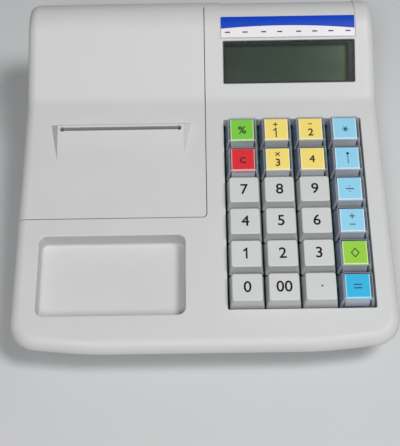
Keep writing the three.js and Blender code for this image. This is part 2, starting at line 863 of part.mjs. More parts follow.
function makeBase() {
  const rise = lipHeight - gap - footHeight;
  const insetAt = (z, bottomInset) =>
    baseInset + ((bottomInset - baseInset) * (footHeight + rise - z)) / rise;
  const level = (z) => [z, insetAt(z, baseBottomInset), insetAt(z, baseFrontInset)];
  const shell = loft(baseRings([level(footHeight), level(footHeight + rise)], 0));
  const hollow = loft(baseRings([level(baseFloor), level(footHeight + rise + gap)], wall));
  let base = shell.subtract(hollow);
  const ribFrom = rollY - cradleHalf;
  const ribTo = rollY + cradleHalf;
  const ribLow = footHeight + wall / 2;
  const ribs = [-1, 1].flatMap((side) => {
    const cradleX = rollX + side * cradleSpread;
    const guideX = rollX + side * (rollWidth / 2 + guideClearance + ribThickness / 2);
    const lowHalf = ribThickness / 2;
    return [
      box(cradleX - lowHalf, cradleX + lowHalf, ribFrom, ribTo, ribLow, cradleHeight),
      box(guideX - lowHalf, guideX + lowHalf, ribFrom, ribTo, ribLow, guideHeight),
    ];
  });
  const roll = rodX(
    rollRadius + gap,
    rollX - rollWidth / 2 - gap,
    rollX + rollWidth / 2 + gap,
    rollY,
    rollZ,
    rollSides,
  );
  const framePosts = [frameLeft + framePostInset, frameRight - framePostInset].flatMap((x) =>
    [frameFront + framePostInset, frameRear - framePostInset].map((y) =>
      rodZ(framePostRadius, x, y, ribLow, frameBottom - gap),
    ),
  );
  const boss = ({ x, y }) => rodZ(baseBossRadius, x, y, footHeight, footHeight + baseBossHeight);
  const recess = ({ x, y }) =>
    rodZ(footRadius + gap, x, y, footHeight - over, footHeight + footRecess);
  const bore = ({ x, y }) =>
    rodZ(
      screwHeadRadius + counterboreClearance,
      x,
      y,
      footHeight - over,
      footHeight + counterboreDepth,
    );
  base = join(base, ...ribs, ...framePosts, ...screws.map(boss));
  base = base.subtract(roll).subtract(screwHoles());
  return base.subtract(join(...feet.map(recess))).subtract(join(...screws.map(bore)));
}

// A spur gear along X with straight-sided teeth, its first tooth at the given angle.
function gear(teeth, x0, x1, bore, phase) {
  const pitchRadius = (gearModule * teeth) / 2;
  const tip = pitchRadius + gearModule * toothTipShare;
  const root = pitchRadius - gearModule * toothRootShare;
  const points = [];
  for (let i = 0; i < teeth; i++) {
    const corners = [
      [root, -rootWidthShare],
      [tip, -tipWidthShare],
      [tip, tipWidthShare],
      [root, rootWidthShare],
    ];
    for (const [radius, share] of corners) {
      const angle = phase + (2 * Math.PI * (i + share)) / teeth;
      points.push([radius * Math.cos(angle), radius * Math.sin(angle)]);
    }
  }
  const body = prismX(points, x0, x1);
  return bore ? body.subtract(rodX(bore, x0 - over, x1 + over, 0, 0)) : body;
}

const gearLeft = frameRight + gap * 2;
const gearRight = gearLeft + gearWidth;
const gearDistance = (gearModule * (gearTeeth + pinionTeeth)) / 2;
const motorY = platenY + gearDistance * Math.cos(motorAngle);
const motorZ = platenZ + gearDistance * Math.sin(motorAngle);

const motorBodyRight = frameRight - framePlate - gap;

function makePrinterFrame() {
  const floor = box(
    frameLeft,
    frameRight,
    frameFront,
    frameRear,
    frameBottom,
    frameBottom + framePlate,
  );
  const sideLeft = box(
    frameLeft,
    frameLeft + framePlate,
    frameFront,
    frameRear,
    frameBottom,
    frameTop,
  );
  const sideRight = box(
    frameRight - framePlate,
    frameRight,
    frameFront,
    frameRear,
    frameBottom,
    frameTop,
  );
  const front = box(
    frameLeft,
    frameRight,
    frameFront,
    frameFront + framePlate,
    frameBottom,
    frameTop,
  );
  return join(floor, sideLeft, sideRight, front)
    .subtract(rodX(shaftRadius + gap, frameLeft - over, frameRight + over, platenY, platenZ))
    .subtract(rodX(motorShaftRadius + gap, platenX, frameRight + over, motorY, motorZ));
}

function makePlaten() {
  const roller = rodX(
    platenRadius,
    platenX - platenLength / 2,
    platenX + platenLength / 2,
    0,
    0,
  );
  return roller.add(rodX(shaftRadius, frameLeft - shaftTail, gearRight, 0, 0));
}

function makePrintHead() {
  const left = frameLeft + framePlate + headEndMargin;
  const right = frameRight - framePlate - headEndMargin;
  const back = frameFront + framePlate + gap;
  const face = platenY - platenRadius - gap;
  const carrier = box(
    left,
    right,
    back,
    back + headPlate,
    frameBottom + framePlate + headEndMargin,
    platenZ + headHeight,
  );
  const bar = box(left, right, back, face, platenZ - headHeight / 2, platenZ + headHeight / 2);
  return carrier.add(bar);
}

function makePaperRoll() {
  const profile = [
    [rollCore, -rollWidth / 2],
    [rollRadius, -rollWidth / 2],
    [rollRadius, rollWidth / 2],
    [rollCore, rollWidth / 2],
    [rollCore, -rollWidth / 2],
  ].map(([x, y]) => new THREE.Vector2(x, y));
  const geometry = new THREE.LatheGeometry(profile, rollSides);
  geometry.rotateZ(-Math.PI / 2);
  return solid(geometry);
}

function makeMotor() {
  const body = rodX(motorRadius, motorBodyRight - motorLength, motorBodyRight, 0, 0);
  const bore = motorShaftRadius + gap;
  return body.subtract(rodX(bore, motorBodyRight - motorShaftDepth, frameRight, 0, 0));
}

function makePinion() {
  const phase = motorAngle + Math.PI;
  const teeth = gear(pinionTeeth, gearLeft, gearRight, 0, phase);
  const shaftLeft = motorBodyRight - motorShaftDepth + gap;
  return teeth.add(rodX(motorShaftRadius, shaftLeft, gearRight, 0, 0));
}

function makePlatenGear() {
  const phase = motorAngle + Math.PI / gearTeeth;
  return gear(gearTeeth, gearLeft, gearRight, shaftRadius + gap, phase);
}

// The switch board, in the deck's own frame.
function makeBoard() {
  const top = -boardDepth;
  const bottom = top - boardThickness;
  let board = box(boardLeft, boardRight, boardFront, boardRear, bottom, top);
  const bodies = [];
  const wells = [];
  for (let row = 0; row < keyRows; row++) {
    for (let column = 0; column < keyColumns; column++) {
      const { x, y } = keyPlace(row, column);
      const side = switchWidth / 2;
      const hole = stemWidth / 2 + gap;
      bodies.push(box(x - side, x + side, y - side, y + side, top - gap, top + switchHeight));
      wells.push(box(x - hole, x + hole, y - hole, y + hole, top + gap, top + switchHeight + over));
    }
  }
  const middle = (boardLeft + boardRight) / 2;
  const chips = chipPlaceShares.map((share) => {
    const s = boardFront + (boardRear - boardFront) * share;
    const low = bottom - chipHeight;
    const side = chipWidth / 2;
    return box(middle - side, middle + side, s, s + chipLength, low, bottom + gap);
  });
  board = join(board, ...bodies, ...chips).subtract(join(...wells));
  const back = onDeck.clone().invert();
  const clear = rodZ(bossRadius + boardClearance, screwX, screwFrontY, -caseTop, caseTop * 2);
  return board.subtract(clear.transform(back.elements));
}

// Place of a key's centre in the deck's frame: the first row is the rearmost.
function keyPlace(row, column) {
  const x = keyboardX + (column - (keyColumns - 1) / 2) * columnPitch;
  const y = keyboardDistance + ((keyRows - 1) / 2 - row) * rowPitch;
  return { x, y };
}

function keyRing(width, length, corner, shift, z) {
  return planRing({
    halfWidth: width / 2,
    front: shift - length / 2,
    rear: shift + length / 2,
    frontRadius: corner,
    rearRadius: corner,
    stops: [],
    steps: keySteps,
  }).map(([x, y]) => [x, y, z]);
}

const stem = (top) => {
  const side = stemWidth / 2;
  return box(-side, side, -side, side, -stemDepth, top);
};

// The outer form of a keycap, or of the space inside it, drawn in by the depth.
function keyForm(depth, bottom) {
  const width = keyBaseWidth - 2 * depth;
  const length = keyBaseLength - 2 * depth;
  const topWidth = keyTopWidth - 2 * depth;
  const topLength = keyTopLength - 2 * depth;
  const round = depth ? 0 : keyTopRound;
  const top = keyTopHeight - depth;
  const rings = [
    keyRing(width, length, keyBaseCorner, 0, bottom),
    keyRing(width, length, keyBaseCorner, 0, -keySkirtDepth + keySkirtHeight),
    keyRing(topWidth, topLength, keyTopCorner, keyTopShift, top - round),
  ];
  if (round) {
    const less = 2 * round;
    rings.push(keyRing(topWidth - less, topLength - less, keyTopCorner, keyTopShift, top));
  }
  return loft(rings);
}

const keyShell = keyForm(0, -keySkirtDepth).subtract(keyForm(keyWall, -keySkirtDepth - over));

function makeWhiteKey() {
  return keyShell.add(stem(keyTopHeight - keyWall / 2));
}

function makeLabel() {
  const top = keyTopHeight - keyWall - gap;
  const inset = 2 * (keyWall + gap * 2);
  const shoulder = top - keyWall;
  const rings = [
    keyRing(
      keyBaseWidth - inset,
      keyBaseLength - inset,
      keyBaseCorner,
      0,
      -keySkirtDepth + keySkirtHeight,
    ),
    keyRing(labelWidth, labelLength, labelCorner, keyTopShift, shoulder),
    keyRing(labelWidth, labelLength, labelCorner, keyTopShift, top),
  ];
  return loft(rings).intersect(keyForm(keyWall + gap, -keySkirtDepth)).add(stem(0));
}

function makeScrew() {
  const head = rodZ(screwHeadRadius, 0, 0, 0, screwHeadHeight);
  return head.add(rodZ(screwRadius, 0, 0, 0, screwHeadHeight + screwLength));
}

function makeFoot() {
  const outline = [
    [0, 0],
    [footRadius - footRecess, 0],
    [footRadius, footRecess],
    [footRadius, footHeight + footRecess - gap],
    [0, footHeight + footRecess - gap],
  ].map(([x, y]) => new THREE.Vector2(x, y));
  const geometry = new THREE.LatheGeometry(outline, roundSides);
  geometry.rotateX(Math.PI / 2);
  return solid(geometry);
}

function makeSocket() {
  const side = socketWidth / 2;
  const face = rearY - gap;
  const body = box(-side, side, face - socketDepth, face, -side, side);
  const wide = side + socketFlange;
  const seat = rearY - wall - gap;
  const flange = box(-wide, wide, seat - socketFlange, seat, -wide, wide);
  return body.add(flange).subtract(rodY(socketBore, 0, 0, face - socketBoreDepth, face + over));
}

function makeWindow() {
  return plate(
    windowX - windowWidth / 2,
    windowX + windowWidth / 2,
    windowFront,
    windowFront + windowLength,
    windowCorner,
    -windowRecess - windowThickness,
    -windowRecess,
    undefined,
    gap,
  );
}

function makeLcd() {
  const top = -displayFrameDepth - gap;
  const side = windowWidth / 2 - lcdMargin;
  return box(
    windowX - side,
    windowX + side,
    windowFront + lcdMargin / 2,
    windowFront + windowLength - lcdMargin / 2,
    top - lcdThickness,
    top,
  );
}

function makeStrip() {
  const band = stripBand(stripProud, stripThickness - stripProud);
  return band.intersect(stripRegion(stripEnd, stripFront, 0));
}

const finish = (color, roughness, metalness = 0, extra = {}) =>
  new THREE.MeshStandardMaterial({ color, roughness, metalness, ...extra });

const shellGrey = finish(0xcdcfcf, 0.55);
const keyWhite = finish(0xd6d7d8, 0.5);
const clearPlastic = finish(0x93a3b4, 0.15, 0, { transparent: true, opacity: 0.55 });
const glassDark = finish(0x2b3630, 0.1, 0, { transparent: true, opacity: 0.6 });
const lcdGreen = finish(0x56655a, 0.3);
const stripBlue = finish(0x0447b0, 0.4);
const rubberBlack = finish(0x1e1f20, 0.8);
const steel = finish(0xa9adb0, 0.35, 0.9);
const paperWhite = finish(0xf1f0ea, 0.9);
const boardGreen = finish(0x1f6b3b, 0.6);
const gearWhite = finish(0xe6e4da, 0.5);
const plasticBlack = finish(0x202224, 0.5);
const labelColours = {
  green: finish(0x88c75f, 0.6),
  red: finish(0xd22d2d, 0.6),
  yellow: finish(0xe9db7a, 0.6),
  pale: finish(0x8cc4db, 0.6),
  cyan: finish(0x28b4e1, 0.6),
};

// Colour of each key's label, from the rear row to the front row: null is a white moulded key.
const keyColours = [
  ["green", "yellow", "yellow", "pale"],
  ["red", "yellow", "yellow", "pale"],
  [null, null, null, "pale"],
  [null, null, null, "pale"],
  [null, null, null, "green"],
  [null, null, null, "cyan"],
];

const register = new THREE.Group();

function place(parent, name, shape, material, x = 0, y = 0, z = 0) {
  const mesh = new THREE.Mesh(geometryOf(shape), material);
  mesh.name = name;
  mesh.position.set(x, y, z);
  parent.add(mesh);
}

place(register, "base_shell", makeBase(), shellGrey);
place(register, "top_housing", makeTopHousing(), shellGrey);
place(register, "printer_cover", makePrinterCover(), shellGrey);
const pinLeft = knuckleLeft + gap;
const pinRight = coverRight - gap;
place(register, "cover_hinge_pin", hingeRod(hingePinRadius, pinLeft, pinRight), steel);
place(register, "name_strip", makeStrip(), stripBlue);
place(register, "printer_frame", makePrinterFrame(), steel);
place(register, "print_head", makePrintHead(), plasticBlack);
place(register, "power_socket", makeSocket(), plasticBlack, socketX, 0, socketZ);
place(register, "paper_roll", makePaperRoll(), paperWhite, rollX, rollY, rollZ);

const platen = new THREE.Group();
platen.position.set(0, platenY, platenZ);
place(platen, "platen_roller", makePlaten(), rubberBlack);
place(platen, "platen_gear", makePlatenGear(), gearWhite);
register.add(platen);

const motor = new THREE.Group();
motor.position.set(0, motorY, motorZ);
place(motor, "drive_motor", makeMotor(), steel);
place(motor, "motor_pinion", makePinion(), gearWhite);
register.add(motor);

const display = new THREE.Group();
display.position.set(0, bendY, bendZ);
display.rotation.x = displayAngle;
place(display, "display_window", makeWindow(), glassDark);
place(display, "lcd_panel", makeLcd(), lcdGreen);
register.add(display);

const deck = new THREE.Group();
deck.position.set(0, frontY, frontHeight);
deck.rotation.x = deckAngle;
place(deck, "main_board", makeBoard(), boardGreen);
for (let row = 0; row < keyRows; row++) {
  for (let column = 0; column < keyColumns; column++) {
    const { x, y } = keyPlace(row, column);
    const colour = keyColours[row][column];
    const tag = `r${row + 1}_c${column + 1}`;
    if (colour) {
      place(deck, `keycap_${tag}`, keyShell, clearPlastic, x, y);
      place(deck, `key_label_${tag}`, makeLabel(), labelColours[colour], x, y);
    } else {
      place(deck, `keycap_${tag}`, makeWhiteKey(), keyWhite, x, y);
    }
  }
}
register.add(deck);

for (const { name, x, y } of screws) {
  place(register, `case_screw_${name}`, makeScrew(), steel, x, y, headZ);
}
for (const { name, x, y } of feet) {
  place(register, `foot_${name}`, makeFoot(), rubberBlack, x, y);
}

export default register;
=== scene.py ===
import math

import bpy
import bmesh
from mathutils import Euler, Matrix, Vector


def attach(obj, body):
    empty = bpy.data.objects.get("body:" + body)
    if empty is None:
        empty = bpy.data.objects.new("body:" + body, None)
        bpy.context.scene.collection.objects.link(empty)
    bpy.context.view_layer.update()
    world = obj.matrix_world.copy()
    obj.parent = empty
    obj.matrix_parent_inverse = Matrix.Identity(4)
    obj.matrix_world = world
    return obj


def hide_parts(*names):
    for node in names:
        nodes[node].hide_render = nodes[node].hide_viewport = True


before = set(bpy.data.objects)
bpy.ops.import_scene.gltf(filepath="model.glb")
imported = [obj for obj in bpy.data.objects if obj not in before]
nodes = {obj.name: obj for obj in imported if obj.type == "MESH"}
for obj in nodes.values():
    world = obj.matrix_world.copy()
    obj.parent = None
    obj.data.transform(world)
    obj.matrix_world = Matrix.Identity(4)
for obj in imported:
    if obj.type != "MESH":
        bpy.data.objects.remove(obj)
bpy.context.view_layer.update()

MM = 0.001

# ---------------------------------------------------------------- sizes, in millimetres
# case
case_width = 203.4
case_depth = 211.3
front_height = 26.1
deck_angle = math.radians(9)
display_angle = math.radians(35)
slope_run = 62.65  # from the bend to the rear of the case
bend_radius = 14.0
crown_radius = 19.0
edge_radius = 5.5
front_corner = 15.4
front_flat = 50.0  # half the straight middle of the front edge
front_bow = 200.0
front_sweep = math.radians(6.3)
rear_corner = 11.0
side_draft = math.radians(2.9)
wall = 2.4
lip = 20.5  # lower rim of the upper housing
foot_height = 3.0
gap = 0.3  # between pieces that touch
seam = 0.4  # between the cover and the housing
over = 5.0  # how far a cutter runs past what it cuts
half = case_width / 2
front_y = -case_depth / 2
rear_y = case_depth / 2
far = case_depth + case_width

# places that follow from the case's sizes
bend_y = rear_y - slope_run
deck_length = (bend_y - front_y) / math.cos(deck_angle)
bend_z = front_height + deck_length * math.sin(deck_angle)
crown_y = rear_y - crown_radius
tangent_y = crown_y - crown_radius * math.sin(display_angle)
tangent_z = bend_z + (tangent_y - bend_y) * math.tan(display_angle)
crown_z = tangent_z - crown_radius * math.cos(display_angle)
case_top = crown_z + crown_radius
bend_reach = bend_radius * math.tan((display_angle - deck_angle) / 2)
bend_cy = bend_y - bend_reach * math.cos(deck_angle) - bend_radius * math.sin(deck_angle)
bend_cz = bend_z - bend_reach * math.sin(deck_angle) + bend_radius * math.cos(deck_angle)
slope_len = (tangent_y - bend_y) / math.cos(display_angle)

on_deck = Matrix.Translation((0, front_y, front_height)) @ Matrix.Rotation(deck_angle, 4, "X")
on_slope = Matrix.Translation((0, bend_y, bend_z)) @ Matrix.Rotation(display_angle, 4, "X")

# lower case
base_inset = 1.2
base_bottom_inset = 3.5
base_front_inset = 11.0
base_front_corner = 12.0
base_rear_corner = 8.0

# keyboard
pitch = 19.05
keyboard_x = 51.0
keyboard_s = 78.8  # its middle, up the deck from the front edge
keyboard_margin = 0.6
cap_base = 18.2
cap_top_w = 15.7
cap_top_l = 15.1
cap_shift = -0.75
cap_top = 7.1
cap_skirt = 3.0
cap_skirt_h = 0.6
cap_wall = 1.2
clear_wall = 0.7
label_w = 12.9
label_l = 13.4
label_z = 6.2
label_fold = 2.2
# label_rim is the width of a label's side band that gets the painted highlight
label_rim = 0.5
well_wall = 1.6
well_depth = 7.0
well_corner = 0.8
well_rim = 0.5
board_plan = (6.0, 93.6, 12.3, 146.8)
board_depth = 13.5
board_t = 1.6
post_radius = 2.0
post_places = [(x, s) for s in (15.9, 143.2) for x in (13, 72.6)]
switch_height = 6.0
switch_half = 7.0
switch_hole = 2.3  # half of it
stem_half = 2.0
stem_depth = 8.8

# display and name strip
window_x = 50.4
window_front = 8.6
window_w = 75.6
window_l = 24.6
window_recess = 0.6
window_t = 1.6
window_corner = 0.7
window_rim = 0.45
hole_left, hole_right, hole_end = 1.2, 2.8, 1.0  # from the window's edges to the hole under it
lcd_t = 3.0
frame_depth = 6.0  # of the seat round the window
frame_margin = 4.0
strip_x = 50.0
strip_w = 77.0
strip_front = 34.9
strip_len = 12.6
channel_reach = 2.5
channel_depth = 0.6
channel_end = math.radians(118)

# printer cover with its ramp, slot and hinge
cover_right = 2.1
cover_front = deck_length - 75.6
cover_corner = 2.4
cover_skirt = 15.0
hinge_radius = 2.6
hinge_y = rear_y - hinge_radius
hinge_z = crown_z - 7.0
hinge_channel = 0.8
pin_radius = 1.2
knuckle = 4.4
ledge_w = 2.6
ledge_t = 1.6
ramp_left = 20.8 - half
ramp_right = cover_right - 12.3
ramp_rear = deck_length - 19.4
ramp_front = ramp_rear - 20.1
ramp_height = 5.0
ramp_side_run = 4.2
ramp_rear_run = 3.2
slot_x = (ramp_left + ramp_right) / 2
slot_len = ramp_right - ramp_left - 4.2
slot_w = 1.8
slot_s = ramp_rear - 2.0
slot_eye = 1.25

# coin tray
tray_left = 13.7 - half
tray_right = cover_right - 11.9
tray_front = 18.8
tray_rear = cover_front - 10.4
tray_depth = 11.0
tray_corner = 4.0
tray_wall = 2.0
tray_rim = 0.7
tray_foot = 1.6

# printer bay, screws, feet and socket
bay_margin = 3.0
bay_bottom = 9.0
roll_x, roll_y, roll_z = -45.55, 74.0, 32.7
roll_radius = 25.0
roll_half = 28.5
core_inner, core_outer = 5.2, 6.25  # radii of the tube that the paper is wound on
platen_centre = (-46.25, 27.5, 30.0)
rib_t = 2.0
rib_half = 20.0
ribs_at = ((18.0, 15.0), (roll_half + 1.3 + rib_t / 2, 24.0))  # from the roll's middle, and top
frame_posts = [(x, y) for x in (-79.5, -13) for y in (11, 43)]
frame_post_radius = 3.0
frame_post_top = 7.6
screw_radius = 1.4
screw_head_radius = 2.8
screw_head_h = 1.9
screw_length = 11.0
boss_radius = 3.4
boss_top = 36.0
gusset_t = 3.0
base_boss_radius = 5.0
base_boss_h = 5.0
counterbore = 2.6
screw_head_z = foot_height + counterbore - gap - screw_head_h
screws = [
    ("front_left", -80, -86), ("front_right", 80, -86),
    ("rear_left", -85, 90), ("rear_right", 85, 90),
]
feet = [
    ("front_left", -74, -70), ("front_right", 74, -70),
    ("rear_left", -74, 78), ("rear_right", 74, 78),
]
foot_radius = 7.0
socket_x = 66.0
socket_z = 32.0
socket_half = 5.4

# fineness of the round stretches
corner_steps = 14
bow_steps = 6
edge_steps = 8
bend_steps = 10
crown_steps = 26
rim_steps = 4
cap_steps = 5
bevel_angle = math.radians(40)  # edges sharper than this are rounded
sharp_angle = math.radians(38)  # and these stay sharp in the shading


# ---------------------------------------------------------------- solids
def new_object(name, verts, faces, matrix=None):
    mesh = bpy.data.meshes.new(name)
    if matrix is not None:
        verts = [matrix @ Vector(v) for v in verts]
    mesh.from_pydata([tuple(v) for v in verts], [], faces)
    mesh.validate()
    obj = bpy.data.objects.new(name, mesh)
    bpy.context.scene.collection.objects.link(obj)
    return obj


def tidy(obj, distance=1e-4):
    bm = bmesh.new()
    bm.from_mesh(obj.data)
    bmesh.ops.remove_doubles(bm, verts=bm.verts, dist=distance)
    bmesh.ops.recalc_face_normals(bm, faces=bm.faces)
    bm.to_mesh(obj.data)
    bm.free()
    return obj


def baked(obj):
    """The object with its modifiers applied."""
    graph = bpy.context.evaluated_depsgraph_get()
    mesh = bpy.data.meshes.new_from_object(obj.evaluated_get(graph), depsgraph=graph)
    obj.modifiers.clear()
    old = obj.data
    obj.data = mesh
    if old.users == 0:
        bpy.data.meshes.remove(old)
    return obj


def combine(base, tool, how):
    mod = base.modifiers.new("op", "BOOLEAN")
    mod.operation = how
    mod.solver = "MANIFOLD"
    mod.object = tool
    baked(base)
    bpy.data.objects.remove(tool, do_unlink=True)
    return base


def minus(base, *tools):
    for tool in tools:
        combine(base, tool, "DIFFERENCE")
    return base


def plus(base, *tools):
    for tool in tools:
        combine(base, tool, "UNION")
    return base


def both(base, tool):
    return combine(base, tool, "INTERSECT")


def joined(parts):
    return plus(*parts)


box_faces = [(0, 1, 3, 2), (4, 6, 7, 5), (0, 4, 5, 1), (2, 3, 7, 6), (0, 2, 6, 4), (1, 5, 7, 3)]


def box(x0, x1, y0, y1, z0, z1, matrix=None, name="box"):
    verts = [(x, y, z) for x in (x0, x1) for y in (y0, y1) for z in (z0, z1)]
    return tidy(new_object(name, verts, box_faces, matrix))


def walls_between(rings):
    """The points of all rings, and the faces between each ring and the next."""
    count = len(rings[0])
    faces = []
    for k in range(len(rings) - 1):
        for i in range(count):
            j = (i + 1) % count
            faces.append((k * count + i, k * count + j, (k + 1) * count + j, (k + 1) * count + i))
    return [p for ring in rings for p in ring], faces, len(faces)


def rings_to_solid(rings, matrix=None, name="loft"):
    """A closed solid through rings of the same count; planar ends."""
    verts, faces, top = walls_between(rings)
    count = len(rings[0])
    faces.append(tuple(range(count))[::-1])
    faces.append(tuple(range(top, top + count)))
    return new_object(name, verts, faces, matrix)


def rod(axis, radius, a, b, u, v, sides=32, matrix=None):
    """A cylinder along X or Z from a to b; u and v are its centre on the other two axes."""
    rings = []
    for t in (a, b):
        ring = []
        for i in range(sides):
            w = 2 * math.pi * i / sides
            p, q = u + radius * math.cos(w), v + radius * math.sin(w)
            ring.append((t, p, q) if axis == "X" else (p, q, t))
        rings.append(ring)
    return rings_to_solid(rings, matrix, "rod")


def turned(profile, axis, centre, sides=48, name="turned"):
    """A closed profile of (radius, along) points turned round X or Z through centre."""
    cx, cy, cz = centre
    verts, faces = [], []
    n = len(profile)
    for i in range(sides):
        w = 2 * math.pi * i / sides
        c, s = math.cos(w), math.sin(w)
        for r, t in profile:
            if axis == "X":
                verts.append((cx + t, cy + r * c, cz + r * s))
            else:
                verts.append((cx + r * c, cy + r * s, cz + t))
        j = (i + 1) % sides
        for k in range(n):
            m = (k + 1) % n
            faces.append((i * n + k, j * n + k, j * n + m, i * n + m))
    return tidy(new_object(name, verts, faces), 1e-5)


def prism_x(points, x0, x1, name="prism"):
    return tidy(rings_to_solid([[(x, y, z) for y, z in points] for x in (x0, x1)], None, name))


def quarter(steps):
    """Sine and cosine at even steps of a quarter turn."""
    angles = [math.pi / 2 * k / steps for k in range(steps + 1)]
    return [(math.sin(a), math.cos(a)) for a in angles]


def plan_ring(half_width, front, rear, fr, rr, stops=(), steps=corner_steps, flat=0.0, bow=0.0):
    """A plan outline with round corners, and with a bowed front where flat isn't zero."""
    right = []
    sweep = front_sweep if flat else 0.0
    cx = half_width - fr
    cy = front + fr
    if flat:
        for i in range(bow_steps):
            a = sweep * i / bow_steps
            right.append((flat + bow * math.sin(a), front + bow * (1 - math.cos(a))))
        ex = flat + bow * math.sin(sweep)
        ey = front + bow * (1 - math.cos(sweep))
        cy = ey + ((cx - ex) * math.sin(sweep) + fr) / math.cos(sweep)
        right.append((ex, ey))
    for i in range(steps + 1):
        a = (sweep - math.pi / 2) * (1 - i / steps)
        right.append((cx + fr * math.cos(a), cy + fr * math.sin(a)))
    right += [(half_width, y) for y in stops]
    right += [(half_width - rr + rr * c, rear - rr + rr * s) for s, c in quarter(steps)]
    return right + [(-x, y) for x, y in reversed(right)]


def strips(rings, matrix=None, name="loft"):
    """A closed solid through rings that go out and back; its ends are strips across."""
    verts, faces, top = walls_between(rings)
    count = len(rings[0])
    for j in range(count // 2 - 1):
        o = count - 1 - j
        faces.append((top + j, top + j + 1, top + o - 1, top + o))
        faces.append((j, o, o - 1, j + 1))
    return new_object(name, verts, faces, matrix)


def surface_height(y, depth):
    """Height of the case's top at y, or of the surface a depth below it."""
    bend = bend_radius + depth
    crown = crown_radius - depth
    if y < bend_cy + bend * math.sin(deck_angle):
        return front_height + (y - front_y) * math.tan(deck_angle) - depth / math.cos(deck_angle)
    if y < bend_cy + bend * math.sin(display_angle):
        return bend_cz - math.sqrt(bend**2 - (y - bend_cy) ** 2)
    if y < crown_y - crown * math.sin(display_angle):
        return bend_z + (y - bend_y) * math.tan(display_angle) - depth / math.cos(display_angle)
    return crown_z + math.sqrt(max(crown**2 - (y - crown_y) ** 2, 0))


def side_stops(depth):
    """Where the sides need points, so that the bend and the crown come out round."""
    stops = []
    for i in range(bend_steps + 1):
        a = deck_angle + (display_angle - deck_angle) * i / bend_steps
        stops.append(bend_cy + (bend_radius + depth) * math.sin(a))
    # even steps of angle round the crown
    crown = crown_radius - depth
    a0 = -display_angle
    a1 = math.asin(min((rear_y - rear_corner - crown_y) / crown, 1))
    for i in range(crown_steps):
        stops.append(crown_y + crown * math.sin(a0 + (a1 - a0) * i / crown_steps))
    return stops


def lean_at(z):
    """How much narrower the case is at this height."""
    return 1 - math.tan(side_draft) * (z - lip) / half


def case_block(depth, inset, bottom, radius, name="block"):
    """The case's form a depth below its top and an inset inside its sides."""
    stops = side_stops(depth)

    def ring(more, height_of):
        pts = plan_ring(
            half - inset - more, front_y + inset + more, rear_y - inset - more,
            front_corner - inset - more, rear_corner - inset - more, stops,
            flat=front_flat, bow=front_bow - inset - more,
        )
        out = []
        for x, y in pts:
            z = height_of(y)
            out.append((x * lean_at(z), y, z))
        return out

    rings = [ring(0, lambda y: bottom)]
    for s, c in quarter(edge_steps):
        drop = radius * (1 - s)
        rings.append(ring(radius * (1 - c), lambda y: surface_height(y, depth) - drop))
    return strips(rings, None, name)


def plate(x0, x1, y0, y1, corner, z0, z1, matrix=None, shrink=0.0, steps=6, name="plate"):
    """A flat plate with round corners."""
    pts = plan_ring((x1 - x0) / 2 - shrink, y0 + shrink, y1 - shrink, corner, corner, (), steps)
    mid = (x0 + x1) / 2
    return strips([[(mid + x, y, z) for x, y in pts] for z in (z0, z1)], matrix, name)


def pocket(x0, x1, y0, y1, corner, depth, rim, foot, matrix, steps=8):
    """A cutter whose mouth flares by the rim radius and whose floor has round edges."""
    mid = (x0 + x1) / 2

    def ring(grow, z):
        c = max(corner + grow, 0.05)
        pts = plan_ring((x1 - x0) / 2 + grow, y0 - grow, y1 + grow, c, c, (), steps)
        return [(mid + x, y, z) for x, y in pts]

    if foot:
        rings = [ring(foot * (s - 1), foot * (1 - c) - depth) for s, c in quarter(rim_steps)]
    else:
        rings = [ring(0, -depth)]
    rings += [ring(rim * (1 - c), rim * (s - 1)) for s, c in quarter(rim_steps)]
    rings.append(ring(rim, over))
    return strips(rings, matrix)


def core_block():
    return case_block(wall / 2, wall / 2, foot_height, edge_radius - wall / 2)


def make_skin():
    outer = case_block(0, 0, lip, edge_radius, "skin")
    return minus(outer, case_block(wall, wall, lip - over, edge_radius - wall))


def hinge_rod(radius, x0, x1):
    return rod("X", radius, x0, x1, hinge_y, hinge_z, 28)


def cover_space(clearance):
    """The region that the cover takes out of the case, less a clearance."""
    front = on_deck @ Vector((0, cover_front, -cover_skirt))
    outline = [
        (front.y - over, front.z + clearance),
        (hinge_y, hinge_z + clearance),
        (rear_y + over, hinge_z + clearance),
        (rear_y + over, case_top + over),
        (front_y, case_top + over),
        (front_y, front.z + clearance),
    ]
    side = prism_x(outline, -half - over, half)
    left = -half - over
    plan = plate(
        left - cover_corner, cover_right - clearance, cover_front + clearance, far,
        cover_corner, -far, far, on_deck, steps=8,
    )
    return both(side, plan)


def paper_ramp(depth):
    """The raised wedge in front of the slot, or the space under it."""
    left, right = ramp_left + depth, ramp_right - depth
    front, rear = ramp_front + depth, ramp_rear - depth
    low = -wall / 2 - depth
    foot = -depth
    top = ramp_height - depth
    fl, fr = left - ramp_side_run, right + ramp_side_run
    back = rear + ramp_rear_run
    pts = [
        (left, front, low), (right, front, low), (fr, back, low), (fl, back, low),
        (left, front, foot), (right, front, foot), (fr, back, foot), (fl, back, foot),
        (left, rear, top), (right, rear, top),
    ]
    faces = [
        (0, 3, 2, 1), (0, 1, 5, 4), (1, 2, 6, 5), (2, 3, 7, 6), (3, 0, 4, 7),
        (4, 5, 9, 8), (5, 6, 9), (6, 7, 8, 9), (7, 4, 8),
    ]
    return tidy(new_object("ramp", pts, faces, on_deck))


knuckle_left = -(half - wall) * lean_at(hinge_z)
bead_left = knuckle_left + knuckle
bead_right = cover_right - knuckle


